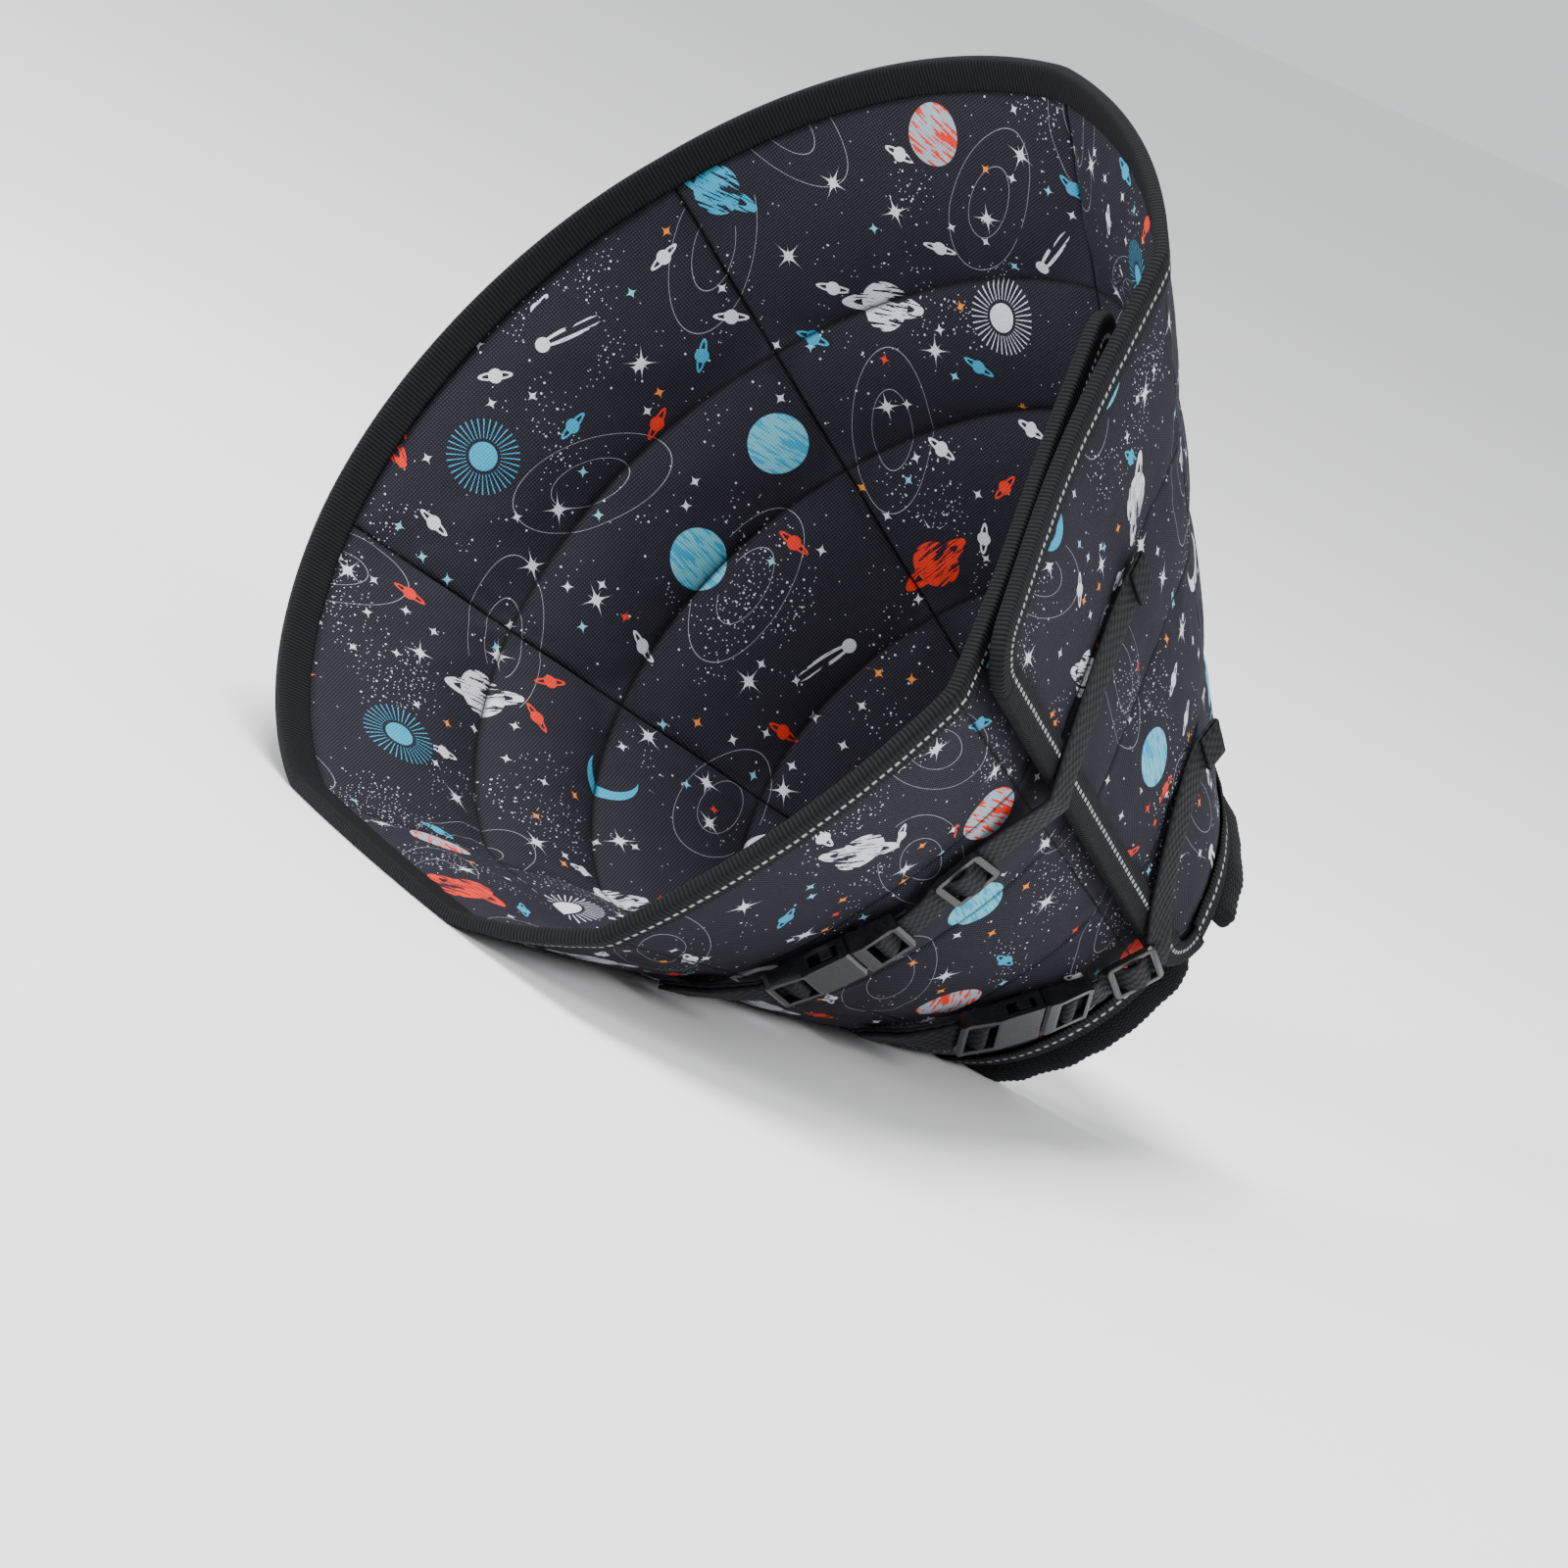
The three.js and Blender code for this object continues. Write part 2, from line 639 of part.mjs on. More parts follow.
function slide() {
  const outline = bothSides([
    [-SLIDE_HALF, HALF_WIDTH - ROUNDED],
    [-SLIDE_HALF + ROUNDED * 0.3, HALF_WIDTH - ROUNDED * 0.3],
    [-SLIDE_HALF + ROUNDED, HALF_WIDTH],
    [SLIDE_HALF - ROUNDED, HALF_WIDTH],
    [SLIDE_HALF - ROUNDED * 0.3, HALF_WIDTH - ROUNDED * 0.3],
    [SLIDE_HALF, HALF_WIDTH - ROUNDED],
  ]);
  const [near, far] = [SLIDE_BAR / 2, SLIDE_BAR / 2 + SLIDE_SLOT];
  const slots = [[-far, -near], [near, far]].map((span) => block(span, [-1, SLIDE_TOP + 1], HALF_PASSAGE));
  return fromManifold(plate(outline, [SLIDE_BOTTOM, SLIDE_TOP]).subtract(slots[0]).subtract(slots[1]));
}

// Webbing, as a path seen from its edge

// A band as thick and as wide as the webbing along a path.
function band(path) {
  const steps = path.length - 1;
  const points = path.map(([x, y]) => new THREE.Vector2(x, y));
  return bend(new THREE.BoxGeometry(steps, 2, 1, steps, 1, 1), (local) => {
    const i = Math.round(local.x + steps / 2);
    const incoming = points[Math.max(i, 1)].clone().sub(points[Math.max(i, 1) - 1]).normalize();
    const next = Math.min(i, steps - 1);
    const outgoing = points[next + 1].clone().sub(points[next]).normalize();
    const heading = incoming.clone().add(outgoing).normalize();
    const reach = (local.y * FACE) / Math.max(heading.dot(incoming), 0.5);
    const edge = new THREE.Vector2(-heading.y, heading.x).multiplyScalar(reach).add(points[i]);
    return new THREE.Vector3(edge.x, edge.y, local.z * WEBBING_WIDTH);
  });
}

// Part of a circle, angles in degrees.
function arc([x, y], radius, from, to, steps) {
  return Array.from({ length: steps + 1 }, (_, i) => {
    const angle = THREE.MathUtils.degToRad(THREE.MathUtils.lerp(from, to, i / steps));
    return [x + radius * Math.cos(angle), y + radius * Math.sin(angle)];
  });
}

// The webbing's way round a bar, from the layer below to the layer above. side: 1 where the webbing
// comes from larger x, -1 where it comes from smaller x.
const RISE_TO_BAR = 2.8;
const DROP_FROM_BAR = 4.4;
const LEVEL_AGAIN = 6;

function roundBar(barX, side) {
  const turn = arc([0, BAR_HEIGHT], WRAP, -90, -320, 10).map(([x, y]) => [barX + side * x, y]);
  return [[barX + side * RISE_TO_BAR, 0], ...turn, [barX + side * DROP_FROM_BAR, LAYER]];
}

function tab(line) {
  const barX = line.middleOf.buckle - BAR_PLACE;
  return line.lay(band([
    ...line.level(0, barX - RISE_TO_BAR * 2, 0),
    ...roundBar(barX, -1),
    ...line.level(barX - LEVEL_AGAIN, 0, LAYER),
  ]));
}

// Over the slide's bar, the webbing turns up and down through the middle of each slot.
const OVER_BAR = SLIDE_BAR / 2 + 0.3;
const BESIDE_BAR = SLIDE_BAR / 2 + SLIDE_SLOT - 0.6;
const PAST_SLIDE = SLIDE_HALF + 1;
const STEP_DOWN = 3;

function strap(line) {
  const barX = line.middleOf.buckle + BAR_PLACE;
  const slideX = line.middleOf.slide;
  const end = line.at[line.at.length - 1];
  const foldX = end - LAYER / 2;
  const beforeSlide = slideX - PAST_SLIDE;
  const returnEnd = Math.min(barX + SEWN_RETURN, beforeSlide - STEP_DOWN * 2);
  return line.lay(band([
    [returnEnd, 0],
    ...roundBar(barX, 1),
    ...line.level(barX + LEVEL_AGAIN, beforeSlide - STEP_DOWN, LAYER),
    [beforeSlide, 0],
    [slideX - BESIDE_BAR, 0],
    [slideX - OVER_BAR, OVER_SLIDE],
    [slideX + OVER_BAR, OVER_SLIDE],
    [slideX + BESIDE_BAR, 0],
    ...line.level(slideX + PAST_SLIDE, foldX - LAYER, 0),
    ...arc([foldX, LAYER / 2], LAYER / 2, -90, 90, 4),
    ...line.level(foldX - LAYER, end - WEBBING_HEM, LAYER),
  ]));
}

// The drawcord leaves the knit's end as two strands, runs through the lock and ends in a loop, laid on
// the floor behind the neck. One strand of it, the other being its mirror image. ahead: distance from
// the knit the way the cord points. aside: distance from the middle of the two. height: of its middle.
const STRAND = [
  { ahead: 6, aside: 3, height: 7.8 },
  { ahead: 12, aside: 2.8, height: 5.4 },
  { ahead: 18, aside: 2.8, height: 4.1 },
  { ahead: 24.5, aside: 2.8, height: 4 },
  { ahead: 31, aside: 2.8, height: 3.9 },
  { ahead: 37, aside: 3.3, height: 2.3 },
  { ahead: 44, aside: 4.8, height: 2 },
  { ahead: 51, aside: 6.8, height: 2 },
  { ahead: 57, aside: 7.3, height: 2 },
  { ahead: 61.5, aside: 4.8, height: 2 },
];
const LOOP_END = { ahead: 63, height: 2 };
const LOCK_AHEAD = 24.5;

function strandEnd(turn) {
  return onWall(turn, slant(turn) + KNIT_LENGTH + CORD / 3, KNIT_CHANNEL);
}

const CORD_START = strandEnd(STRAND_TURNS[0]).lerp(strandEnd(STRAND_TURNS[1]), 0.5);
const CORD_WAY = new THREE.Vector3(-Math.sin(CORD_ANGLE), Math.cos(CORD_ANGLE), 0);
const CORD_SIDE = new THREE.Vector3(Math.cos(CORD_ANGLE), Math.sin(CORD_ANGLE), 0);

function cordPoint({ ahead, aside = 0, height }, side = 1) {
  const point = CORD_START.clone().setZ(height);
  return point.addScaledVector(CORD_WAY, ahead).addScaledVector(CORD_SIDE, side * aside);
}

function drawcord() {
  const path = new THREE.CatmullRomCurve3([
    strandEnd(STRAND_TURNS[0]),
    ...STRAND.map((place) => cordPoint(place)),
    cordPoint(LOOP_END),
    ...STRAND.map((place) => cordPoint(place, -1)).reverse(),
    strandEnd(STRAND_TURNS[1]),
  ]);
  const circle = arc([0, 0], CORD / 2, 0, 360 * (1 - 1 / CORD_SIDES), CORD_SIDES - 1);
  const tube = new THREE.ExtrudeGeometry(shapeOf(circle), { steps: CORD_STEPS, extrudePath: path });
  return closed(tube);
}

// The lock: x along the cord, y up and z across it, to the side of the button.

function cordLockBody() {
  const [halfLength, halfWidth, halfHeight] = [LOCK_LENGTH / 2, LOCK_WIDTH / 2, LOCK_HEIGHT / 2];
  const outline = bothSides([
    [-halfLength, halfWidth - CHAMFER],
    [-halfLength + CHAMFER, halfWidth],
    [halfLength - CHAMFER, halfWidth],
    [halfLength, halfWidth - CHAMFER],
  ]);
  let body = plate(outline, [-halfHeight, halfHeight]);
  for (const side of [-1, 0, 1]) {
    const middleOfRidge = side * (halfLength - RIDGE);
    const ridge = new THREE.BoxGeometry(RIDGE, LOCK_HEIGHT - RIDGE, RIDGE);
    body = body.add(toManifold(ridge.translate(middleOfRidge, 0, -halfWidth)));
  }
  for (const side of [-1, 1]) {
    const radius = CORD / 2 + CLEARANCE;
    const hole = new THREE.CylinderGeometry(radius, radius, LOCK_LENGTH + 2, 12);
    hole.rotateZ(Math.PI / 2).translate(0, 0, (side * STRANDS_APART) / 2);
    body = body.subtract(toManifold(hole));
  }
  const room = CLEARANCE * 2;
  const pocket = new THREE.BoxGeometry(BUTTON_STEM + room, BUTTON_STEM + room, STEM_LENGTH + room);
  return fromManifold(body.subtract(toManifold(pocket.translate(0, 0, halfWidth))));
}

function cordLockButton() {
  const start = LOCK_WIDTH / 2 + CLEARANCE;
  const head = new THREE.BoxGeometry(BUTTON_HEAD, BUTTON_HEIGHT, LOCK_BUTTON);
  const stem = new THREE.BoxGeometry(BUTTON_STEM, BUTTON_STEM, STEM_LENGTH);
  const button = toManifold(head.translate(0, 0, start + LOCK_BUTTON / 2));
  return fromManifold(button.add(toManifold(stem.translate(0, 0, start))));
}

function placeLock(mesh) {
  const up = new THREE.Vector3(0, 0, 1);
  const centre = cordPoint({ ahead: LOCK_AHEAD, height: LOCK_HEIGHT / 2 });
  mesh.applyMatrix4(new THREE.Matrix4().makeBasis(CORD_WAY, up, CORD_SIDE).setPosition(centre));
  return mesh;
}

// Where the straps lie. share: share of the way from the mouth to the neck. lift: height over the
// pads. carries: the stiff piece on the way to the next mark. Turns below zero are on the wall under
// the flap, the others on the flap itself.
const UPPER_STRAP = [
  { turn: -33, share: 0.318 },
  { turn: -37, share: 0.32 },
  { turn: -40, share: 0.322, lift: 0.6 },
  { turn: -46, share: 0.33, lift: 2.6, carries: 'buckle' },
  { turn: -66, share: 0.36, lift: 2.6 },
  { turn: -71, share: 0.363, lift: 1, carries: 'slide' },
  { turn: -79.5, share: 0.36, lift: 1 },
  { turn: -84, share: 0.355, lift: 2.5 },
  { turn: -88.5, share: 0.35, lift: 7.6 },
  { turn: 267.5, share: 0.342, lift: 0.4 },
  { turn: 262, share: 0.335 },
  { turn: 256, share: 0.33 },
  { turn: 250, share: 0.327 },
  { turn: 244, share: 0.325 },
  { turn: 238, share: 0.325 },
  { turn: 232, share: 0.327, lift: 0.6 },
];

const NECK_STRAP = [
  { turn: -36, share: 0.7 },
  { turn: -40, share: 0.705 },
  { turn: -44, share: 0.712, lift: 1.2 },
  { turn: -50, share: 0.73, lift: 3.6, carries: 'buckle' },
  { turn: -76.5, share: 0.85, lift: 3.6 },
  { turn: -78.5, share: 0.855, lift: 3.4, carries: 'slide' },
  { turn: -90.5, share: 0.868, lift: 9.6 },
  { turn: 266.5, share: 0.85, lift: 0.9 },
  { turn: 261, share: 0.81 },
  { turn: 255, share: 0.78 },
  { turn: 249, share: 0.76 },
  { turn: 243, share: 0.75 },
  { turn: 237, share: 0.745 },
  { turn: 231, share: 0.745, lift: 0.6 },
  { turn: 225, share: 0.747, lift: 4 },
];

const CLOTH = { color: 0x26252f, roughness: 0.85 };
const TAPE_CLOTH = { color: 0x1b1c1f, roughness: 0.85 };
const KNIT_CLOTH = { color: 0x121315, roughness: 0.9 };
const PLASTIC = { color: 0x17181b, roughness: 0.3 };

const cone = new THREE.Group();
cone.add(named('quilted_fan', quiltedFan(), CLOTH));
cone.add(named('mouth_binding', foldedTape(endStations(false)), TAPE_CLOTH));
cone.add(named('neck_binding', foldedTape(endStations(true)), TAPE_CLOTH));
cone.add(named('flap_edge_binding', foldedTape(sideStations(true)), TAPE_CLOTH));
cone.add(named('inner_edge_binding', foldedTape(sideStations(false)), TAPE_CLOTH));
cone.add(named('knit_collar', knitCollar(), KNIT_CLOTH));

for (const [prefix, marks] of [['upper', UPPER_STRAP], ['neck', NECK_STRAP]]) {
  const line = new StrapLine(marks);
  const socket = named(`${prefix}_buckle_socket`, buckleSocket().rotateY(Math.PI), PLASTIC);
  const plug = named(`${prefix}_buckle_plug`, bucklePlug(), PLASTIC);
  cone.add(named(`${prefix}_tab`, tab(line), TAPE_CLOTH));
  cone.add(named(`${prefix}_strap`, strap(line), TAPE_CLOTH));
  cone.add(line.place(socket, line.middleOf.buckle));
  cone.add(line.place(plug, line.middleOf.buckle));
  cone.add(line.place(named(`${prefix}_slide`, slide(), PLASTIC), line.middleOf.slide));
}

// The origin is on the floor under the middle of the cone, the drawcord not counted.
const box = new THREE.Box3().setFromObject(cone);
const middleOfBox = box.getCenter(new THREE.Vector3());
cone.position.set(-middleOfBox.x, -middleOfBox.y, -box.min.z);

cone.add(named('drawcord', drawcord(), TAPE_CLOTH));
cone.add(placeLock(named('cord_lock_body', cordLockBody(), PLASTIC)));
cone.add(placeLock(named('cord_lock_button', cordLockButton(), PLASTIC)));

export default cone;
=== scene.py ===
import math

import bmesh
import bpy
import numpy as np
from mathutils import Euler, Matrix, Vector


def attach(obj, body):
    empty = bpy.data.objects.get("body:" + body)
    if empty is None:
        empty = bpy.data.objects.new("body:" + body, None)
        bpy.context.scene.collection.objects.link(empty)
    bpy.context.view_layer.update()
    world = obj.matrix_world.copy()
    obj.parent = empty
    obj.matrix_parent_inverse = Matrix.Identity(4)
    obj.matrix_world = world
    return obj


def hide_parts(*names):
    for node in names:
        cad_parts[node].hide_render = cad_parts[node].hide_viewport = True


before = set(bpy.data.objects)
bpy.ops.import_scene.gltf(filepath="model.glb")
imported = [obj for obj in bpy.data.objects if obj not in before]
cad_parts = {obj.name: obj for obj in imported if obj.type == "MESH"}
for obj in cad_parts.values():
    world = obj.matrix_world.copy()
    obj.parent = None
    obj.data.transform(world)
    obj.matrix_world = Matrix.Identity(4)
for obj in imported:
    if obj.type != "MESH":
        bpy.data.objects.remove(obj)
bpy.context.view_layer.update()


# The camera
# It looks into the mouth from the front and one side, a little above the floor. It leans as much as
# the cone leant in the photograph.

EYE = (2.06377, -1.48202, 0.46511)
EYE_TURNED = (80.0558, -25.4948, 58.7369)

lens = bpy.data.cameras.new("camera")
lens.lens = 180
lens.sensor_width = 36
lens.clip_end = 20
camera = bpy.data.objects.new("camera", lens)
camera.location = EYE
camera.rotation_euler = Euler([math.radians(angle) for angle in EYE_TURNED])
bpy.context.scene.collection.objects.link(camera)
bpy.context.scene.camera = camera


# The drawcord
# A soft round braid of black polyester, 3.6 mm thick. Both its ends are in the knit's channel, and the
# loop between them lies on the floor. The points are in millimetres.

CORD = 3.6
CORD_POINTS = [
    (-39.8, 106.8, 8.5), (-42.1, 114.5, 7.8), (-44.8, 119.8, 5.4), (-47.3, 125.2, 4.1),
    (-50.1, 131.1, 4.0), (-52.8, 137.0, 3.9), (-54.9, 142.7, 2.3), (-56.5, 149.7, 2.0),
    (-57.6, 156.8, 2.0), (-59.7, 162.5, 2.0), (-63.9, 165.5, 2.0), (-68.9, 164.8, 2.0),
    (-72.6, 161.5, 2.0), (-73.0, 156.3, 2.0), (-70.0, 151.1, 2.0), (-65.2, 145.6, 2.0),
    (-60.9, 139.9, 2.3), (-57.9, 134.7, 3.9), (-55.1, 128.8, 4.0), (-52.4, 122.9, 4.1),
    (-49.9, 117.4, 5.4), (-47.5, 111.9, 7.8), (-44.7, 108.6, 12.8),
]
STEPS_BETWEEN_POINTS = 6
CORD_AROUND = 16
BRAID_PITCH = 1.395
BRAID_ANGLE = 32
BRAID_RELIEF = 0.16
WAVE_PERIOD = 2 * math.pi / 20  # from band to band of a wave texture, at scale 1


def linear(hex_colour):
    shares = [int(hex_colour[i:i + 2], 16) / 255 for i in (1, 3, 5)]
    return [s / 12.92 if s <= 0.04045 else ((s + 0.055) / 1.055) ** 2.4 for s in shares] + [1]


def add(tree, kind, inputs=None, **settings):
    node = tree.nodes.new("ShaderNode" + kind)
    for name, value in settings.items():
        setattr(node, name, value)
    for name, value in (inputs or {}).items():
        if isinstance(value, bpy.types.Node):
            value = value.outputs[0]
        if isinstance(value, bpy.types.NodeSocket):
            tree.links.new(value, node.inputs[name])
        else:
            node.inputs[name].default_value = value
    return node


def new_material(name, roughness, **sockets):
    material = bpy.data.materials.new(name)
    material.use_nodes = True
    shader = material.node_tree.nodes["Principled BSDF"]
    shader.inputs["Roughness"].default_value = roughness
    for socket, value in sockets.items():
        shader.inputs[socket.replace("_", " ")].default_value = value
    return material, material.node_tree, shader


def surfaced(tree, shader, colour, height, relief, strength):
    """Gives a material its colour, and a relief of so many millimetres from a height of 0 to 1."""
    tree.links.new(colour.outputs[0], shader.inputs["Base Color"])
    bump = add(tree, "Bump", {"Height": height, "Distance": relief / 1000, "Strength": strength})
    tree.links.new(bump.outputs["Normal"], shader.inputs["Normal"])


def smooth_line(points, steps):
    """Points along a smooth curve through the given ones."""
    padded = [2 * points[0] - points[1], *points, 2 * points[-1] - points[-2]]
    line = []
    for before, start, end, after in zip(padded, padded[1:], padded[2:], padded[3:]):
        for t in np.arange(steps) / steps:
            bend = 2 * start + (end - before) * t + (2 * before - 5 * start + 4 * end - after) * t ** 2
            line.append((bend + (3 * start - before - 3 * end + after) * t ** 3) / 2)
    return np.array([*line, points[-1]])


def unit(vectors):
    return vectors / np.linalg.norm(vectors, axis=-1, keepdims=True)


def distances(line):
    steps = np.linalg.norm(np.diff(line, axis=0), axis=1)
    return np.concatenate([[0], np.cumsum(steps)])


def swept(name, around, along, place):
    """A closed skin in millimetres, made from a grid that is wrapped round itself. place takes each
    corner's number round the section and its number along the piece, and gives its point, its place
    on the flat cloth and, where cloth is sewn down, how firmly."""
    skin = bmesh.new()
    group = skin.verts.layers.deform.new()
    firm = skin.verts.layers.float.new("sewn")
    crease = skin.edges.layers.float.new("crease_edge")
    flat_layer = skin.loops.layers.uv.new("flat")
    bmesh.ops.create_grid(skin, x_segments=around, y_segments=along, size=0.5)
    grid = np.array([vert.co for vert in skin.verts]) + 0.5
    numbers = np.rint(grid[:, :2] * [around, along]).astype(int)
    points, flat, *sewn = place(numbers[:, 0], numbers[:, 1])
    skin.verts.index_update()
    for vert, held in zip(skin.verts, sewn[0] if sewn else ()):
        vert[group][0] = float(held)
        vert[firm] = float(held)
    for edge in skin.edges if sewn else ():
        edge[crease] = float(all(sewn[0][vert.index] for vert in edge.verts))
    for vert, point in zip(skin.verts, points / 1000):
        vert.co = point
    for face in skin.faces:
        face.smooth = True
        for loop in face.loops:
            loop[flat_layer].uv = flat[loop.vert.index] / 1000
    bmesh.ops.remove_doubles(skin, verts=skin.verts, dist=1e-6)
    bmesh.ops.holes_fill(skin, edges=[edge for edge in skin.edges if edge.is_boundary])
    bmesh.ops.recalc_face_normals(skin, faces=skin.faces)
    return finished(name, skin)


def finished(name, skin):
    mesh = bpy.data.meshes.new(name)
    skin.to_mesh(mesh)
    skin.free()
    piece = bpy.data.objects.new(name, mesh)
    bpy.context.scene.collection.objects.link(piece)
    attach(piece, "root")
    return piece


cord_line = smooth_line([np.array(point) for point in CORD_POINTS], STEPS_BETWEEN_POINTS)
cord_heading = unit(np.gradient(cord_line, axis=0))
cord_side = unit(np.cross(cord_heading, [0, 0, 1]))
cord_top = np.cross(cord_side, cord_heading)


def cord_skin(around, along):
    angle = around / CORD_AROUND * 2 * math.pi
    out = np.cos(angle)[:, None] * cord_side[along] + np.sin(angle)[:, None] * cord_top[along]
    flat = np.stack([distances(cord_line)[along], around / CORD_AROUND * CORD * math.pi], axis=1)
    return cord_line[along] + out * CORD / 2, flat


drawcord = swept("drawcord_braid", CORD_AROUND, len(cord_line) - 1, cord_skin)
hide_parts("drawcord")

# Polyester braid: two sets of strands wound opposite ways, which give it a fine diamond relief.
braid, tree, shader = new_material("polyester_braid", 0.8, Specular_IOR_Level=0.15)
place = add(tree, "UVMap", uv_map="flat")
wound = [
    add(tree, "TexWave", {
        "Vector": add(tree, "VectorRotate", {"Vector": place, "Angle": math.radians(angle)},
                      rotation_type="Z_AXIS"),
        "Scale": 1000 * WAVE_PERIOD / BRAID_PITCH,
    }, bands_direction="X").outputs["Fac"]
    for angle in (BRAID_ANGLE, -BRAID_ANGLE)
]
relief = add(tree, "Math", {0: wound[0], 1: wound[1]}, operation="MAXIMUM")
tone = add(tree, "MixRGB", {"Fac": relief, "Color1": linear("#060607"), "Color2": linear("#17181b")})
surfaced(tree, shader, tone, relief, BRAID_RELIEF, 0.8)
drawcord.data.materials.append(braid)


# The cone's wall
# Two layers of printed woven polyester with wadding between them, sewn together along the folds and
# along three seams that run round the cone. It is cut as one flat fan and wrapped round. Each of its
# eight panels is a piece here. Lengths are in millimetres, turns in degrees from the lowest side.

# PAD_OUTSIDE and PAD_INSIDE are how far the two cloths stand from the wall's middle at a full pad, and
# SEAM is the wall's thickness at a ring seam.
SHIFT = np.array([2.613, -146.871, 0])
MOUTH_RADIUS = 175
NECK_RADIUS = 65
CONE_LENGTH = 218
NECK_DROP = 6
MOUTH_SETTLE = 7
NECK_SETTLE = 4
PAD_OUTSIDE = 2.3
PAD_INSIDE = 6.5
SEAM = 0.7
PAD_ROUNDNESS = 0.55
MOST_SWELL = 0.65
OFF_FLOOR = 0.5
UNEVEN = 0.12
SLACK = 0.014
PRESSURE = 4
SWELL_FRAMES = 20
FLAT_MOUTH_RADIUS = 388
LINING_CUT_FROM = (1271, 413)
TAPE_WIDTH = 10
TAPE_OUTSIDE = 2.5
CLEARANCE = 0.3
PAST_TAPE = 1 + CLEARANCE * 2
UNDER_TAPE = TAPE_WIDTH + CLEARANCE * 4
CORNER_RADIUS = 12
FLAP_CORNER_RADIUS = 18

# turn, reach of the mouth at the fold and half way to the next one, and reach of the neck
FOLDS = np.array([
    (-145.5, 0.855, 0.8, 0.84),
    (-88, 0.977, 0.989, 1),
    (-44, 1.045, 0.953, 1),
    (14, 0.944, 0.962, 1),
    (62, 0.99, 1.006, 1),
    (117.5, 0.998, 1.008, 1),
    (173.5, 1.032, 1.003, 1),
    (212, 0.975, 0.838, 1),
    (268, 1.0, 0, 1.12),
])
RING_SEAMS = np.array([0, 0.31, 0.5, 0.74, 1])
START = FOLDS[0, 0]
END = FOLDS[-1, 0]
PANEL_COLUMNS = 34
PANEL_ROWS = 60
SEWN_STEPS = (0, 19, 30, 44, 60)
CLOSER_TO_SEAMS = 0.1
HAIR = 1e-4  # puts a panel's first column just past its fold


def fold_before(turn):
    return np.clip(np.searchsorted(FOLDS[:, 0], turn) - 1, 0, len(FOLDS) - 2)


def share_of_panel(turn):
    i = fold_before(turn)
    return (turn - FOLDS[i, 0]) / (FOLDS[i + 1, 0] - FOLDS[i, 0])


def mouth_reach(turn):
    i = fold_before(turn)
    u = share_of_panel(turn)
    ends = FOLDS[i, 1] * (1 - u) * (1 - 2 * u) + FOLDS[i + 1, 1] * u * (2 * u - 1)
    return MOUTH_RADIUS * (ends + 4 * FOLDS[i, 2] * u * (1 - u))


def neck_reach(turn):
    i = fold_before(turn)
    u = share_of_panel(turn)
    return NECK_RADIUS * (FOLDS[i, 3] * (1 - u) + FOLDS[i + 1, 3] * u)


def outward(turn):
    angle = np.radians(turn)
    return np.stack([-np.sin(angle), np.zeros_like(angle), -np.cos(angle)], axis=-1)


def mouth_point(turn):
    return outward(turn) * mouth_reach(turn)[:, None]


def neck_point(turn):
    return outward(turn) * neck_reach(turn)[:, None] + np.array([0, CONE_LENGTH, -NECK_DROP])


def slant(turn):
    return np.linalg.norm(mouth_point(turn) - neck_point(turn), axis=1)


LOWEST = np.array([0.0])
MOUTH_LOW = mouth_reach(LOWEST)[0] + TAPE_OUTSIDE - MOUTH_SETTLE
NECK_LOW = neck_reach(LOWEST)[0] + TAPE_OUTSIDE + NECK_DROP - NECK_SETTLE
TILT = math.atan2(MOUTH_LOW - NECK_LOW, CONE_LENGTH)
LAID_DOWN = np.array(Matrix.Rotation(-TILT, 3, "X"))


def wall_middle(turn, down):
    length = slant(turn)
    on_cone = np.minimum(down, length + PAST_TAPE)
    share = (on_cone / length)[:, None]
    point = mouth_point(turn) * (1 - share) + neck_point(turn) * share
    point[:, 1] += down - on_cone
    point[:, 2] += MOUTH_LOW
    return point @ LAID_DOWN.T


def wall_out(turn, down):
    inside = np.clip(turn, START + 0.5, END - 0.5)
    on_cloth = np.minimum(down, slant(turn))
    along = unit(wall_middle(inside + 0.5, on_cloth) - wall_middle(inside - 0.5, on_cloth))
    neck = wall_middle(turn, np.full_like(turn, CONE_LENGTH))
    mouth = wall_middle(turn, np.zeros_like(turn))
    return unit(np.cross(along, unit(neck - mouth)))


def on_wall(turn, down, height):
    """Points at a height above the middle of the wall, level with the floor where it lies on it."""
    out = wall_out(turn, down)
    centre = wall_middle(turn, down)
    below = np.maximum(-(centre[:, 2] + out[:, 2] * TAPE_OUTSIDE), 0)
    point = centre + out * height[:, None]
    point[:, 2] = np.maximum(point[:, 2] + below, 0)
    return point + SHIFT


def radius_at(turn, down):
    share = np.minimum(down / slant(turn), 1)
    return mouth_reach(turn) * (1 - share) + neck_reach(turn) * share


def turn_over(length, turn, down):
    return np.degrees(length / radius_at(turn, down))


def setback(distance, radius):
    """How far a rounded corner draws the edge back, at that distance from the fan's side."""
    near = np.clip(radius - distance, 0, radius)
    return radius - np.sqrt(radius ** 2 - near ** 2)


def rounded(before, after):
    """How full a pad is, from 0 at its seams to 1 half way, by the distance to the seams beside it."""
    share = np.maximum(before, 0) / np.maximum(np.maximum(before, 0) + np.maximum(after, 0), 1e-6)
    return np.sin(math.pi * np.clip(share, 0, 1)) ** PAD_ROUNDNESS


def ripples(along, phase):
    """Uneven waves along a seam, from -1 to 1: each with its length, its share and its own start."""
    waves = ((23.0, 0.30, 3.57), (13.7, 0.32, 5.67), (9.1, 0.26, 7.77), (6.3, 0.12, 9.87))
    return sum(size * np.sin(along * 2 * math.pi / length + phase * start)
               for length, size, start in waves)


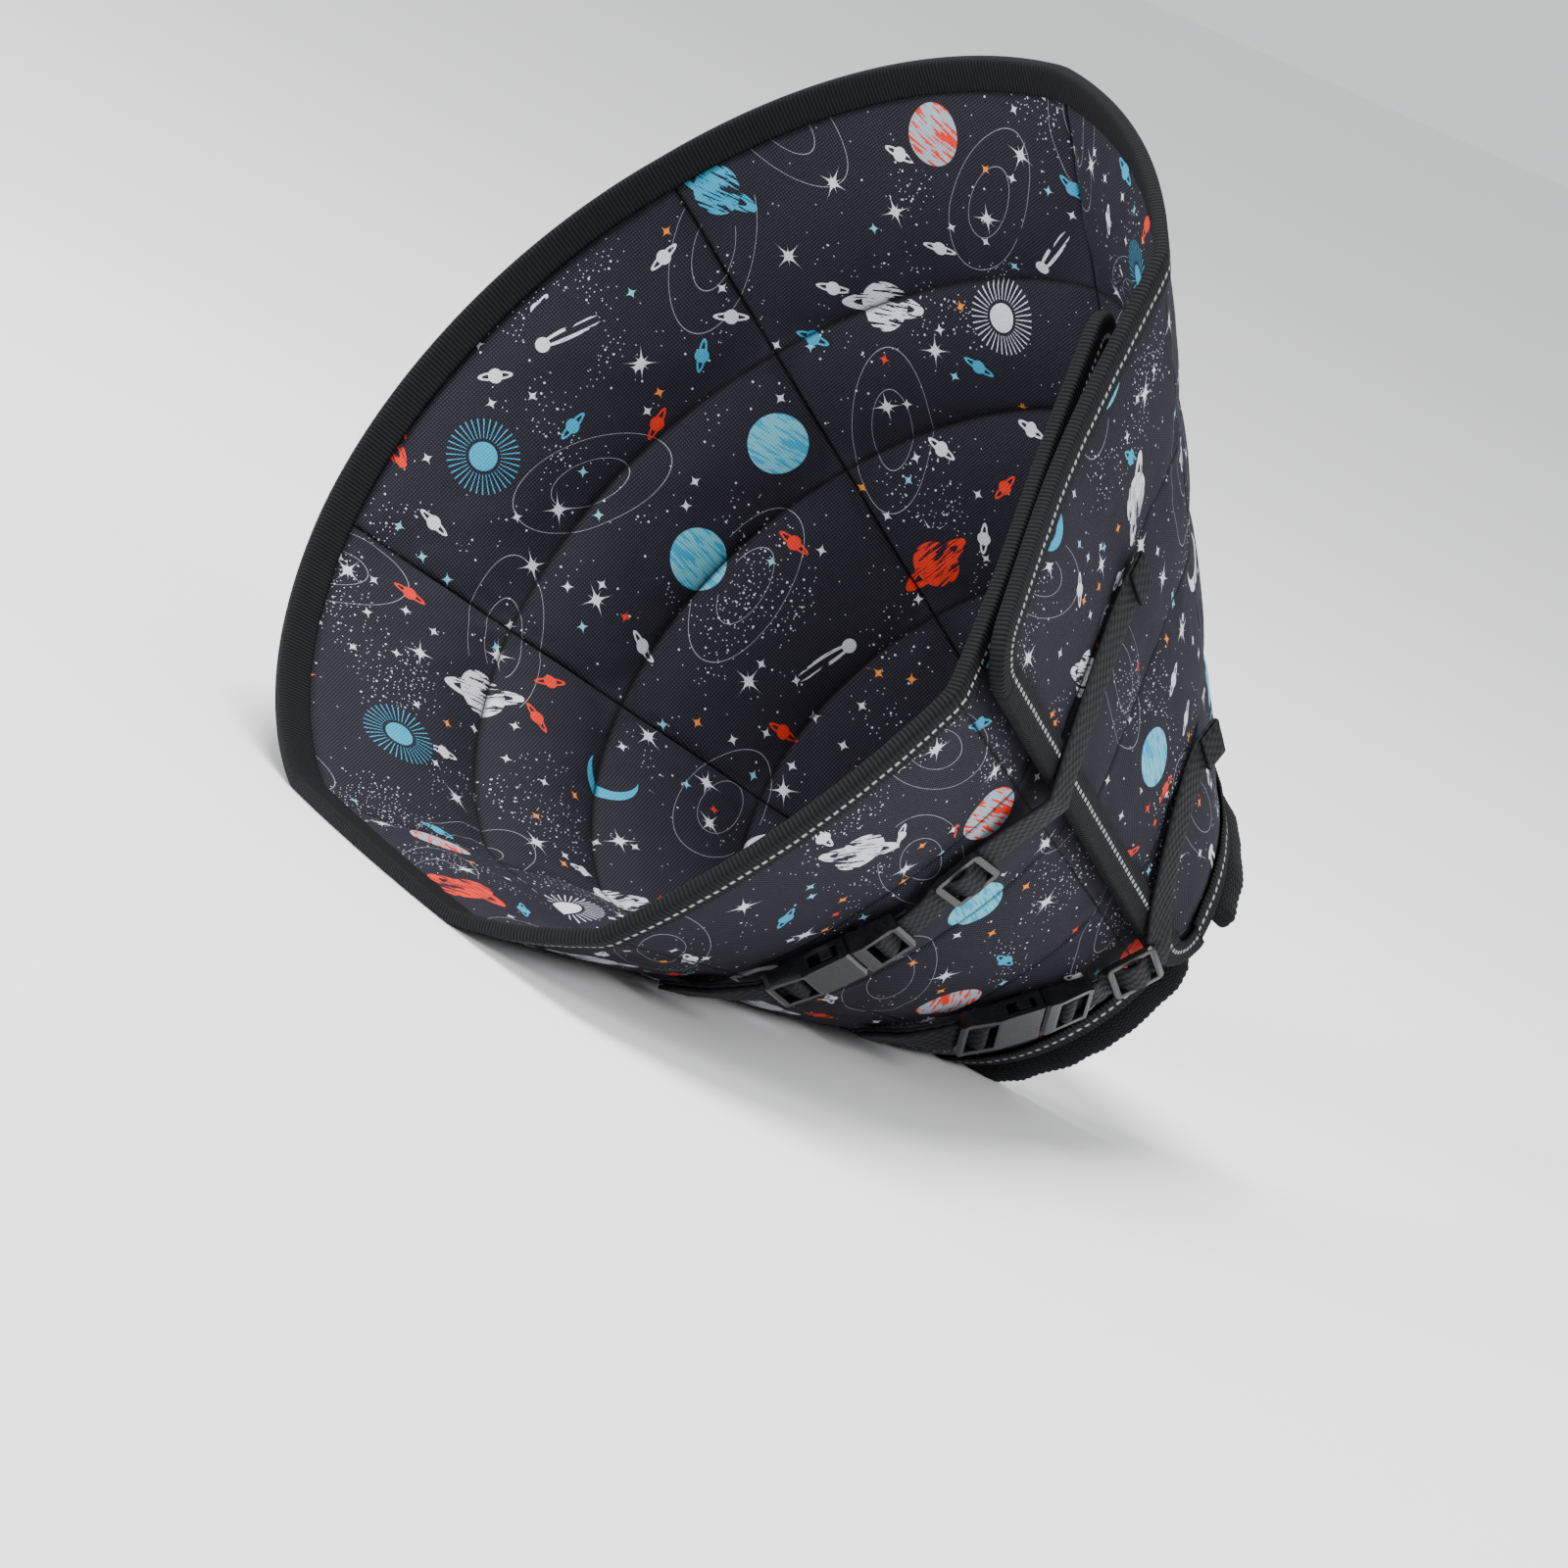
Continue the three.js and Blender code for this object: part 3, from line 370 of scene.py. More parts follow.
def closer_to_seams(share):
    """Shares from 0 to 1, moved a little towards both ends."""
    return share - CLOSER_TO_SEAMS * np.sin(2 * math.pi * share)


def wall_skin(first, last):
    """The skin of the panel between two folds: its outer cloth and its lining, which meet at the
    folds and the hems. The last panel is the flap, whose lining lies close on the first panel."""
    turns = first + (last - first) * closer_to_seams(np.linspace(0, 1, PANEL_COLUMNS + 1))
    turns[0] += HAIR
    turns = np.concatenate([turns, turns[::-1], turns[:1]])
    side = np.append(np.repeat([1, -1], PANEL_COLUMNS + 1), 1)
    on_fold = np.zeros(len(turns))
    on_fold[[0, PANEL_COLUMNS, PANEL_COLUMNS + 1, -2, -1]] = 1
    rows = []
    ring_seams = list(zip(RING_SEAMS, SEWN_STEPS))
    for (start, first_step), (end, last_step) in zip(ring_seams, ring_seams[1:]):
        steps = last_step - first_step
        rows.append(start + (end - start) * closer_to_seams(np.arange(steps) / steps))
    shares = np.concatenate([*rows, [1]])

    def place(around, along):
        turn = turns[around]
        share = shares[along]
        radius = radius_at(turn, share * CONE_LENGTH)
        per_degree = np.radians(radius)
        from_start = (turn - START) * per_degree
        from_end = (END - turn) * per_degree
        start = setback(from_start, CORNER_RADIUS) + setback(from_end, FLAP_CORNER_RADIUS)
        length = slant(turn)
        down = start + (length - 2 * start) * share
        before = (turn - first) * per_degree - (UNDER_TAPE if first == START else 0)
        after = (last - turn) * per_degree - (UNDER_TAPE if last == END else 0)
        row = np.clip(np.searchsorted(RING_SEAMS, share - 1e-6) - 1, 0, len(RING_SEAMS) - 2)
        above = share * length - np.maximum(RING_SEAMS[row] * length, UNDER_TAPE)
        below = np.minimum(RING_SEAMS[row + 1] * length, length - UNDER_TAPE) - share * length
        full = rounded(before, after) * rounded(above, below)
        # Each panel ripples in its own way on either face.
        phase = side[around] * 1.3 + first * 0.05
        slanting = ripples(from_start * 0.5 + down * 0.3, phase)
        uneven = UNEVEN * (slanting + ripples(down * 0.8, phase + 2))
        pad = np.where(side[around] > 0, PAD_OUTSIDE, PAD_OUTSIDE if last == END else PAD_INSIDE)
        height = side[around] * (SEAM / 2 + full * (pad - SEAM / 2 + uneven))
        height[on_fold[around] + np.isin(along, (0, PANEL_ROWS)) > 0] = 0
        sewn = np.maximum.reduce([
            on_fold[around],
            np.isin(along, SEWN_STEPS),
            (above <= 0).astype(float),
            (below <= 0).astype(float),
            (before <= 0).astype(float),
            (after <= 0).astype(float),
        ])
        fan_radius = FLAT_MOUTH_RADIUS - down
        fan_angle = np.radians(turn - START) * MOUTH_RADIUS / FLAT_MOUTH_RADIUS
        flat = np.stack([np.cos(fan_angle) * fan_radius, np.sin(fan_angle) * fan_radius], axis=1)
        lining = side[around] < 0
        flat[lining] = flat[lining] * [-1, 1] + LINING_CUT_FROM
        points = on_wall(turn, down, height)
        points[:, 2] = np.maximum(points[:, 2], OFF_FLOOR)
        return points, flat, sewn

    return place


def blown_up(pads):
    """The wadding fills the pads: their cloth is a little slack, held at its seams and pressed out.
    No point moves further than the wadding lets it."""
    for pad in pads:
        pad.vertex_groups.new(name="sewn")
        cloth = pad.modifiers.new("cloth", "CLOTH")
        cloth.settings.quality = 5
        cloth.settings.mass = 0.15
        cloth.settings.tension_stiffness = 25
        cloth.settings.compression_stiffness = 25
        cloth.settings.shear_stiffness = 12
        cloth.settings.bending_stiffness = 0.15
        cloth.settings.shrink_min = -SLACK
        cloth.settings.vertex_group_mass = "sewn"
        cloth.settings.use_pressure = True
        cloth.settings.uniform_pressure_force = PRESSURE
        cloth.settings.effector_weights.gravity = 0
    for number in range(1, SWELL_FRAMES + 1):
        bpy.context.scene.frame_set(number)
    graph = bpy.context.evaluated_depsgraph_get()
    for pad in pads:
        count = len(pad.data.vertices) * 3
        start = np.empty(count)
        end = np.empty(count)
        pad.data.vertices.foreach_get("co", start)
        pad.evaluated_get(graph).data.vertices.foreach_get("co", end)
        move = (end - start).reshape(-1, 3)
        far = np.linalg.norm(move, axis=1, keepdims=True)
        limit = MOST_SWELL / 1000
        move *= limit * np.tanh(far / limit) / np.maximum(far, 1e-9)
        swollen = start + move.ravel()
        swollen[2::3] = np.maximum(swollen[2::3], OFF_FLOOR / 1000)
        pad.modifiers.clear()
        pad.data.vertices.foreach_set("co", swollen)
        pad.data.update()
    bpy.context.scene.frame_set(1)


panels = []
for number, (first, last) in enumerate(zip(FOLDS[:-1, 0], FOLDS[1:, 0]), start=1):
    panel = swept(f"panel_{number}", PANEL_COLUMNS * 2 + 2, PANEL_ROWS, wall_skin(first, last))
    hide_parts("quilted_fan")
    panels.append(panel)
blown_up(panels)
for panel in panels:
    finer = panel.modifiers.new("finer", "SUBSURF")
    finer.levels = 1
    finer.render_levels = 1
    finer.boundary_smooth = "PRESERVE_CORNERS"


# Printed polyester canvas: a close, fine weave that is nearly black with a touch of violet. The print
# is a night sky: banded globes, globes with rings, crescents, comets, suns, stars and dust. Its sizes
# are in millimetres.
THREAD = 1.0
WEAVE_RELIEF = 0.15
INK_WHITE = linear("#dcdbe6")
INK_TEAL = linear("#2f9fc4")
INK_PALE_TEAL = linear("#7cc9d8")
INK_RED = linear("#e2321c")
INK_ORANGE = linear("#ee8a2c")
CLOTH_DARK = linear("#0f0e15")
CLOTH_LIGHT = linear("#353440")


def scattered(tree, where, spacing, randomness):
    """Motifs of a print, one in each cell. Gives the place from the motif's middle, in millimetres and
    turned at random, and three random shares."""
    in_cells = add(tree, "VectorMath", {0: where, "Scale": 1 / spacing}, operation="SCALE")
    cell = add(tree, "TexVoronoi", {"Vector": in_cells, "Scale": 1, "Randomness": randomness},
               voronoi_dimensions="2D")
    aside = add(tree, "VectorMath", {0: in_cells, 1: cell.outputs["Position"]}, operation="SUBTRACT")
    shares = add(tree, "SeparateColor", {"Color": cell.outputs["Color"]})
    turned = add(tree, "VectorRotate", {
        "Vector": add(tree, "VectorMath", {0: aside, "Scale": spacing}, operation="SCALE"),
        "Angle": add(tree, "Math", {0: shares.outputs["Red"], 1: 2 * math.pi}, operation="MULTIPLY"),
    }, rotation_type="Z_AXIS")
    return turned, shares


def inside(tree, where, radii, middle=(0, 0, 0)):
    """1 inside an ellipse with those radii, and 0 outside it."""
    moved = add(tree, "VectorMath", {0: where, 1: middle}, operation="SUBTRACT")
    scaled = add(tree, "VectorMath", {0: moved, 1: (*radii, 1)}, operation="DIVIDE")
    far = add(tree, "VectorMath", {0: scaled}, operation="LENGTH")
    return add(tree, "Math", {0: far.outputs["Value"], 1: 1}, operation="LESS_THAN")


def both(tree, *shares):
    product = shares[0]
    for share in shares[1:]:
        product = add(tree, "Math", {0: product, 1: share}, operation="MULTIPLY")
    return product


def without(tree, share, other):
    left = add(tree, "Math", {0: 1, 1: other}, operation="SUBTRACT")
    return both(tree, share, left)


def either(tree, *shares):
    most = shares[0]
    for share in shares[1:]:
        most = add(tree, "Math", {0: most, 1: share}, operation="MAXIMUM")
    return most


def between(tree, share, low, high):
    over = add(tree, "Math", {0: share, 1: low}, operation="GREATER_THAN")
    under = add(tree, "Math", {0: share, 1: high}, operation="LESS_THAN")
    return both(tree, over, under)


def star(tree, where, reach, sharpness):
    """A star with four long points along the axes."""
    shrunk = add(tree, "VectorMath", {0: where, "Scale": 1 / reach}, operation="SCALE")
    parts = add(tree, "SeparateXYZ", {0: add(tree, "VectorMath", {0: shrunk}, operation="ABSOLUTE")})
    arms = [add(tree, "Math", {0: parts.outputs[axis], 1: sharpness}, operation="POWER") for axis in "XY"]
    total = add(tree, "Math", {0: arms[0], 1: arms[1]}, operation="ADD")
    return add(tree, "Math", {0: total, 1: 1}, operation="LESS_THAN")


def palette(tree, share, steps):
    """One of the inks, by a random share."""
    ramp = add(tree, "ValToRGB", {"Fac": share})
    ramp.color_ramp.interpolation = "CONSTANT"
    ramp.color_ramp.elements[0].color = steps[0][1]
    ramp.color_ramp.elements[1].position, ramp.color_ramp.elements[1].color = steps[1]
    for position, colour in steps[2:]:
        ramp.color_ramp.elements.new(position).color = colour
    return ramp


def printed(tree, below, share, ink):
    """The colours below, with a motif in one ink printed over them."""
    return add(tree, "MixRGB", {"Fac": share, "Color1": below, "Color2": ink})


canvas, tree, shader = new_material("printed_polyester_canvas", 0.8, Specular_IOR_Level=0.15)
flat_place = add(tree, "UVMap", uv_map="flat")
where = add(tree, "VectorMath", {0: flat_place, "Scale": 1000}, operation="SCALE")

# The weave. Its threads are drawn 1 mm apart, coarser than they are, so that they show.
weave = [
    add(tree, "TexWave", {
        "Vector": add(tree, "VectorRotate", {"Vector": where, "Angle": math.radians(angle)},
                      rotation_type="Z_AXIS"),
        "Scale": WAVE_PERIOD / THREAD,
        "Distortion": 0.6,
        "Detail Scale": 0.4,
    }, bands_direction="X").outputs["Fac"]
    for angle in (20, 110)
]
threads = both(tree, weave[0], weave[1])
cloth = add(tree, "MixRGB", {"Fac": threads, "Color1": CLOTH_DARK, "Color2": CLOTH_LIGHT})

# Black thread lies in the seams, with painted shade in their grooves: the cloth and its print go to near
# black at each seam and fade out over the faces beside it.
seam = add(tree, "Attribute", attribute_name="sewn").outputs["Fac"]
seam_thread_and_shade = add(tree, "Math", {0: seam, 1: 1.6}, operation="POWER")

# Faint orbits, drawn as thin ellipses
ORBIT_PITCH = 7.5
ORBIT_LINE = 0.16
ORBIT_FAINTNESS = 0.4
around, _ = scattered(tree, where, 78, 0.5)
oval = add(tree, "VectorMath", {0: around, 1: (1, 2.1, 1)}, operation="MULTIPLY")
far = add(tree, "VectorMath", {0: oval}, operation="LENGTH").outputs["Value"]
rings = add(tree, "Math", {0: far, 1: ORBIT_PITCH}, operation="PINGPONG")
lines = add(tree, "Math", {0: rings, 1: ORBIT_LINE}, operation="LESS_THAN")
orbits = both(tree, lines, between(tree, far, 12, 33), ORBIT_FAINTNESS)
sky = printed(tree, cloth, orbits, INK_WHITE)

# Dust, thick in some places and thin in others. The table gives how far apart its grains are, their
# radius, and the largest share of them that is printed.
clouds = add(tree, "TexNoise", {"Vector": where, "Scale": 0.022, "Detail": 2}, noise_dimensions="2D")
for spacing, size, most in ((1.9, 0.2, 0.7), (4.1, 0.38, 0.5)):
    around, shares = scattered(tree, where, spacing, 0.95)
    crowd = add(tree, "MapRange", {
        "Value": clouds.outputs["Fac"], "From Min": 0.52, "From Max": 0.7,
        "To Min": 0.03, "To Max": most})
    spare = add(tree, "Math", {0: crowd, 1: shares.outputs["Green"]}, operation="SUBTRACT")
    dust = both(tree, inside(tree, around, (size, size)), between(tree, spare, 0, 1))
    sky = printed(tree, sky, dust, INK_WHITE)

# Small stars in white, teal, orange and red
around, shares = scattered(tree, where, 12.5, 0.85)
small = both(tree, star(tree, around, 2.5, 0.5), between(tree, shares.outputs["Green"], 0, 0.3))
inks = palette(tree, shares.outputs["Blue"], [
    (0, INK_WHITE), (0.55, INK_PALE_TEAL), (0.74, INK_ORANGE), (0.88, INK_RED), (0.95, INK_WHITE)])
sky = printed(tree, sky, small, inks)

# Sparkling stars with eight rays, and little globes with rings
around, shares = scattered(tree, where, 29, 0.55)
kind = shares.outputs["Green"]
crossed = add(tree, "VectorRotate", {"Vector": around, "Angle": math.radians(45)}, rotation_type="Z_AXIS")
sparkle = either(tree, star(tree, around, 8, 0.34), star(tree, crossed, 4.6, 0.36))
sparkle = both(tree, sparkle, between(tree, kind, 0, 0.4))
globe = inside(tree, around, (2.5, 2.5))
hoop = without(tree, inside(tree, around, (6.2, 1.5)), inside(tree, around, (4.9, 0.8)))
little = both(tree, either(tree, globe, hoop), between(tree, kind, 0.62, 1))
inks = palette(tree, shares.outputs["Blue"], [(0, INK_WHITE), (0.45, INK_RED), (0.72, INK_TEAL)])
sky = printed(tree, sky, sparkle, INK_WHITE)
sky = printed(tree, sky, little, inks)

# The large motifs, each kind with its span of a random share. No small star or dust shows through
# them.
RINGED_GLOBES = (0, 0.28)
BANDED_GLOBES = (0.28, 0.5)
CRESCENTS = (0.5, 0.66)
COMETS = (0.66, 0.82)
SUNS = (0.82, 1)
SUN_RAYS = 36
around, shares = scattered(tree, where, 66, 0.5)
kind = shares.outputs["Green"]
strokes = add(tree, "TexNoise", {
    "Vector": add(tree, "VectorMath", {0: around, 1: (0.09, 0.75, 1)}, operation="MULTIPLY"),
    "Scale": 1,
    "Detail": 3,
    "Roughness": 0.6,
}, noise_dimensions="2D").outputs["Fac"]
bands = add(tree, "Math", {0: strokes, 1: 0.46}, operation="GREATER_THAN")
broken = add(tree, "Math", {0: strokes, 1: 0.4}, operation="GREATER_THAN")
ball = both(tree, inside(tree, around, (8.5, 8.5)), bands)
wide_hoop = without(tree, inside(tree, around, (15.5, 3.9)), inside(tree, around, (11.5, 1.9)))
ringed = either(tree, ball, both(tree, wide_hoop, broken))
ringed = both(tree, ringed, between(tree, kind, *RINGED_GLOBES))
banded = both(tree, inside(tree, around, (10.5, 10.5)), between(tree, kind, *BANDED_GLOBES))
shadow = inside(tree, around, (8.6, 8.6), (3.4, 1.2, 0))
crescent = without(tree, inside(tree, around, (9.5, 9.5)), shadow)
crescent = both(tree, crescent, between(tree, kind, *CRESCENTS))
head = inside(tree, around, (2.6, 2.6), (-8, 0, 0))
fork = inside(tree, around, (16, 1.1), (8, 0, 0))
tail = without(tree, inside(tree, around, (12, 2.2), (3, 0, 0)), fork)
comet = both(tree, either(tree, head, both(tree, tail, broken)), between(tree, kind, *COMETS))
far = add(tree, "VectorMath", {0: around}, operation="LENGTH").outputs["Value"]
round_share = add(tree, "TexGradient", {"Vector": around}, gradient_type="RADIAL")
rays = add(tree, "Math", {0: round_share, 1: 0.5 / SUN_RAYS}, operation="PINGPONG")
rays = add(tree, "Math", {0: rays, 1: 0.1 / SUN_RAYS}, operation="LESS_THAN")
rays = both(tree, rays, between(tree, far, 6.2, 13))
sun = both(tree, either(tree, inside(tree, around, (5, 5)), rays), between(tree, kind, *SUNS))
large = either(tree, ringed, crescent, comet, sun)
inks = palette(tree, shares.outputs["Blue"], [
    (0, INK_WHITE), (0.5, INK_TEAL), (0.68, INK_RED), (0.8, INK_WHITE)])
sky = printed(tree, sky, inside(tree, around, (13.5, 13.5)), cloth)
sky = printed(tree, sky, large, inks)
globe_inks = palette(tree, shares.outputs["Blue"], [(0, INK_TEAL), (0.6, INK_RED), (0.85, INK_ORANGE)])
globe_tones = printed(tree, globe_inks, both(tree, bands, 0.75), INK_PALE_TEAL)
sky = printed(tree, sky, banded, globe_tones)

# The ink sits on the raised threads, so the weave shows through it.
through = add(tree, "MixRGB", {
    "Fac": add(tree, "Math", {0: threads, 1: 0.5, 2: 0.62}, operation="MULTIPLY_ADD"),
    "Color1": cloth,
    "Color2": sky,
})
# Dark thread and painted shade: near black where the cloth is sewn, fading over the faces next to the
# seam.
thread_and_shade_over_print = add(tree, "MixRGB", {"Fac": seam_thread_and_shade, "Color1": through, "Color2": linear("#08080b")})
surfaced(tree, shader, thread_and_shade_over_print, threads, WEAVE_RELIEF, 0.7)
for panel in panels:
    panel.data.materials.append(canvas)


# The binding tape
# Black ribbed polyester tape, 10 mm wide on each face, folded over every edge of the fan and sewn
# through. A woven line of reflective thread runs along the middle of its outer face.

CORNER_STEPS = 10
SIDE_STEPS = 90
STATION_TURN = 1.25
TAPE_LOOSE = 0.22
TAPE_SINKS = 0.1
# way over the cloth from its edge, and height over the wall's middle
TAPE_SECTION = np.array([
    (10.0, 1.5), (10.15, 1.9), (9.9, 2.35), (9.2, 2.5), (7.5, 2.5), (5, 2.5), (2.5, 2.5), (0.8, 2.5),
    (-0.4, 2.35), (-1.0, 1.9), (-1.25, 1.2), (-1.3, 0),
    (-1.25, -1.2), (-1.0, -1.9), (-0.4, -2.35), (0.8, -2.5), (2.5, -2.5), (5, -2.5), (7.5, -2.5),
    (9.2, -2.5), (9.9, -2.35), (10.15, -1.9), (10.0, -1.5), (-0.3, -1.5), (-0.3, 1.5), (10.0, 1.5),
])


def corner_stations(at_end, at_neck):
    """Stations of the tape round one corner of the fan: turn and way down the wall of the cloth's
    edge, and the way from there over the cloth, in turn and down the wall."""
    radius = FLAP_CORNER_RADIUS if at_end else CORNER_RADIUS
    edge = np.array([END if at_end else START])
    sign = -1 if at_end else 1
    stations = []
    for angle in np.linspace(0, math.pi / 2, CORNER_STEPS + 1):
        distance = radius * (1 - math.sin(angle))
        back = radius * (1 - math.cos(angle))
        half_way = edge + sign * turn_over(distance, edge, np.array([CONE_LENGTH / 2]))
        down = slant(half_way)[0] - back if at_neck else back
        turn = edge[0] + sign * turn_over(distance, edge, np.array([down]))[0]
        stations.append((turn, down, math.sin(angle) * sign, math.cos(angle) * (-1 if at_neck else 1)))
    return stations


def end_stations(at_neck):
    """Stations along the mouth or the neck, from a degree past each corner."""
    first = START + turn_over(CORNER_RADIUS, np.array([START]), np.array([CONE_LENGTH]))[0] + 1
    last = END - turn_over(FLAP_CORNER_RADIUS, np.array([END]), np.array([CONE_LENGTH]))[0] - 1
    turns = np.linspace(first, last, int((last - first) / STATION_TURN))
    length = slant(turns) if at_neck else np.zeros_like(turns)
    way = -1 if at_neck else 1
    straight = [(turn, down, 0, way) for turn, down in zip(turns, length)]
    return np.array([*corner_stations(False, at_neck)[::-1], *straight, *corner_stations(True, at_neck)])


def side_stations(at_end):
    """Stations along one straight side of the fan, between its corners."""
    edge = END if at_end else START
    sign = -1 if at_end else 1
    short = (FLAP_CORNER_RADIUS if at_end else CORNER_RADIUS) + CLEARANCE
    downs = np.linspace(short, slant(np.array([edge]))[0] - short, SIDE_STEPS)
    return np.array([(edge, down, sign, 0) for down in downs])


def tape_skin(stations):
    turn, down, in_turn, in_down = stations.T
    edge_line = on_wall(turn, down, np.zeros_like(turn))
    run = distances(edge_line)
    round_section = distances(TAPE_SECTION)

    def place(around, along):
        across, height = TAPE_SECTION[around].T
        inner = down[along] + in_down[along] * across
        at = turn[along] + turn_over(in_turn[along] * across, turn[along], inner)
        face = np.sign(height)
        loose = TAPE_LOOSE * ripples(run[along], 3 + face) * np.clip(across / TAPE_WIDTH, 0, 1)
        points = on_wall(at, inner, height + face * np.maximum(loose, -TAPE_SINKS))
        return points, np.stack([run[along], round_section[around]], axis=1)

    return place


TAPES = {
    "mouth_binding": end_stations(False),
    "neck_binding": end_stations(True),
    "flap_edge_binding": side_stations(True),
    "inner_edge_binding": side_stations(False),
}

# Polyester grosgrain: matte, with a fine rib across it, drawn a little coarser than it is, so that it
# shows. The reflective thread is a row of grey dashes, with a fainter line on each side of it.
RIB = 1.5
RIB_RELIEF = 0.4
DASH_PITCH = 3
DASH_GAP = 1.2
REFLECTIVE_MIDDLE = 5.4
REFLECTIVE_WIDTH = 1.4


def along_and_across(tree):
    """The place on a strip's flat cloth, in millimetres."""
    flat_place = add(tree, "UVMap", uv_map="flat")
    parts = add(tree, "SeparateXYZ", {
        0: add(tree, "VectorMath", {0: flat_place, "Scale": 1000}, operation="SCALE")})
    return parts.outputs["X"], parts.outputs["Y"]


def ridges(tree, place, length):
    """Smooth ridges from 0 to 1, that length apart."""
    wave = add(tree, "Math", {0: place, 1: 2 * math.pi / length}, operation="MULTIPLY")
    height = add(tree, "Math", {0: wave}, operation="SINE")
    return add(tree, "Math", {0: height, 1: 0.5, 2: 0.5}, operation="MULTIPLY_ADD")


grosgrain, tree, shader = new_material("polyester_grosgrain", 0.75, Specular_IOR_Level=0.12)
along, across = along_and_across(tree)
ribs = ridges(tree, along, RIB)
dashes = add(tree, "Math", {0: along, 1: DASH_PITCH / 2}, operation="PINGPONG")
dashes = add(tree, "Math", {0: dashes, 1: DASH_GAP / 2}, operation="GREATER_THAN")
off_line = add(tree, "Math", {0: across, 1: REFLECTIVE_MIDDLE}, operation="SUBTRACT")
off_line = add(tree, "Math", {0: off_line}, operation="ABSOLUTE")
on_line = add(tree, "Math", {0: off_line, 1: REFLECTIVE_WIDTH / 2}, operation="LESS_THAN")
beside = both(tree, between(tree, off_line, 1.3, 1.75), 0.35)
tone = add(tree, "MixRGB", {"Fac": ribs, "Color1": linear("#020203"), "Color2": linear("#18191b")})
tone = printed(tree, tone, beside, linear("#232527"))
tone = printed(tree, tone, both(tree, dashes, on_line), linear("#8f9496"))
surfaced(tree, shader, tone, ribs, RIB_RELIEF, 0.9)

for node_name, stations in TAPES.items():
    tape = swept(f"{node_name}_tape", len(TAPE_SECTION) - 1, len(stations) - 1, tape_skin(stations))
    tape.data.materials.append(grosgrain)
    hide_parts(node_name)


# The knit collar
# A band of black rib knit, doubled over and sewn in behind the neck's tape. It stands out past the
# tape, where it closes softly on the neck, and the drawcord runs in its fold.

KNIT_TURNS = (-103, 246)
KNIT_RIB = 2.6
KNIT_RIB_DEPTH = 0.42
KNIT_SLACK = 0.5
SAMPLES_PER_RIB = 6
SEWN_SHUT = 4
SHUT_THICKNESS = 0.25
SHUT_REACH = 0.7
KNIT_MIDDLE = -1
TUCKED_MIDDLE = -4.2
# way out past the wall's end, and height over the wall's middle
KNIT_SECTION = np.array([
    (-9, -4.72), (-9, -2.8), (-3, -2.8), (1.6, -2.8), (1.6, -1.2), (1.7, 0.4), (2.4, 1.6), (4.2, 2.5),
    (6.8, 2.75), (9.6, 2.5), (11.2, 1.9), (12, 1.1), (12.1, 0.2), (11.8, -0.6), (10.6, -1.5), (8.4, -2.4),
    (5.2, -4.0), (1.6, -6.0), (-3, -5.6), (-9, -4.72),
])
knit_arc = np.radians(KNIT_TURNS[1] - KNIT_TURNS[0]) * NECK_RADIUS
knit_steps = int(knit_arc / KNIT_RIB * SAMPLES_PER_RIB)
knit_turns = np.linspace(*KNIT_TURNS, knit_steps + 1)


def knit_skin(around, along):
    """The ribs grow from nothing where the knit leaves the tape, and both its ends are sewn shut."""
    across, height = KNIT_SECTION[around].T
    turn = knit_turns[along]
    run = along * KNIT_RIB / SAMPLES_PER_RIB
    seen = np.clip((across - PAST_TAPE) / 3, 0, 1)
    rib = np.abs(np.sin(math.pi * run / KNIT_RIB)) - 0.6
    slack = KNIT_SLACK * ripples(run * 0.6, 2.0) * seen
    lift = seen * rib * KNIT_RIB_DEPTH * np.where(height > -0.4, 1, -1)
    from_end = np.minimum(turn - KNIT_TURNS[0], KNIT_TURNS[1] - turn)
    closed = SHUT_THICKNESS + (1 - SHUT_THICKNESS) * np.sqrt(np.clip(from_end / SEWN_SHUT, 0, 1))
    past = across > PAST_TAPE
    middle = np.where(past, KNIT_MIDDLE, TUCKED_MIDDLE)
    height = (height - middle) * closed + middle
    reach = SHUT_REACH + (1 - SHUT_REACH) * closed
    across = np.where(past, PAST_TAPE + (across - PAST_TAPE) * reach, across)
    points = on_wall(turn, slant(turn) + across + slack * 0.6, height + lift * closed + slack)
    return points, np.stack([run, distances(KNIT_SECTION)[around]], axis=1)


collar = swept("knit_collar_rib", len(KNIT_SECTION) - 1, knit_steps, knit_skin)
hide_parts("knit_collar")

# Rib knit: soft matte yarn in columns of small loops.
LOOP = 1.3
LOOP_RELIEF = 0.3
knit, tree, shader = new_material("polyester_rib_knit", 0.9, Specular_IOR_Level=0.1,
                                  Sheen_Weight=0.04, Sheen_Roughness=0.4)
along, across = along_and_across(tree)
column = add(tree, "Math", {0: along, 1: KNIT_RIB / 2}, operation="PINGPONG")
leaning = add(tree, "Math", {0: across, 1: column}, operation="ADD")
loops = ridges(tree, leaning, LOOP)
tone = add(tree, "MixRGB", {"Fac": loops, "Color1": linear("#08090a"), "Color2": linear("#17181b")})
surfaced(tree, shader, tone, loops, LOOP_RELIEF, 0.7)
collar.data.materials.append(knit)


# The straps
# Black polypropylene webbing, 15 mm wide. Each strap is sewn to the flap, passes the slide and turns
# round the bar of the buckle's plug. A short tab on the wall holds the socket. The tables give the
# turn, the share of the way from the mouth to the neck, the height over the pads, and what stiff piece
# the webbing carries to the next mark.

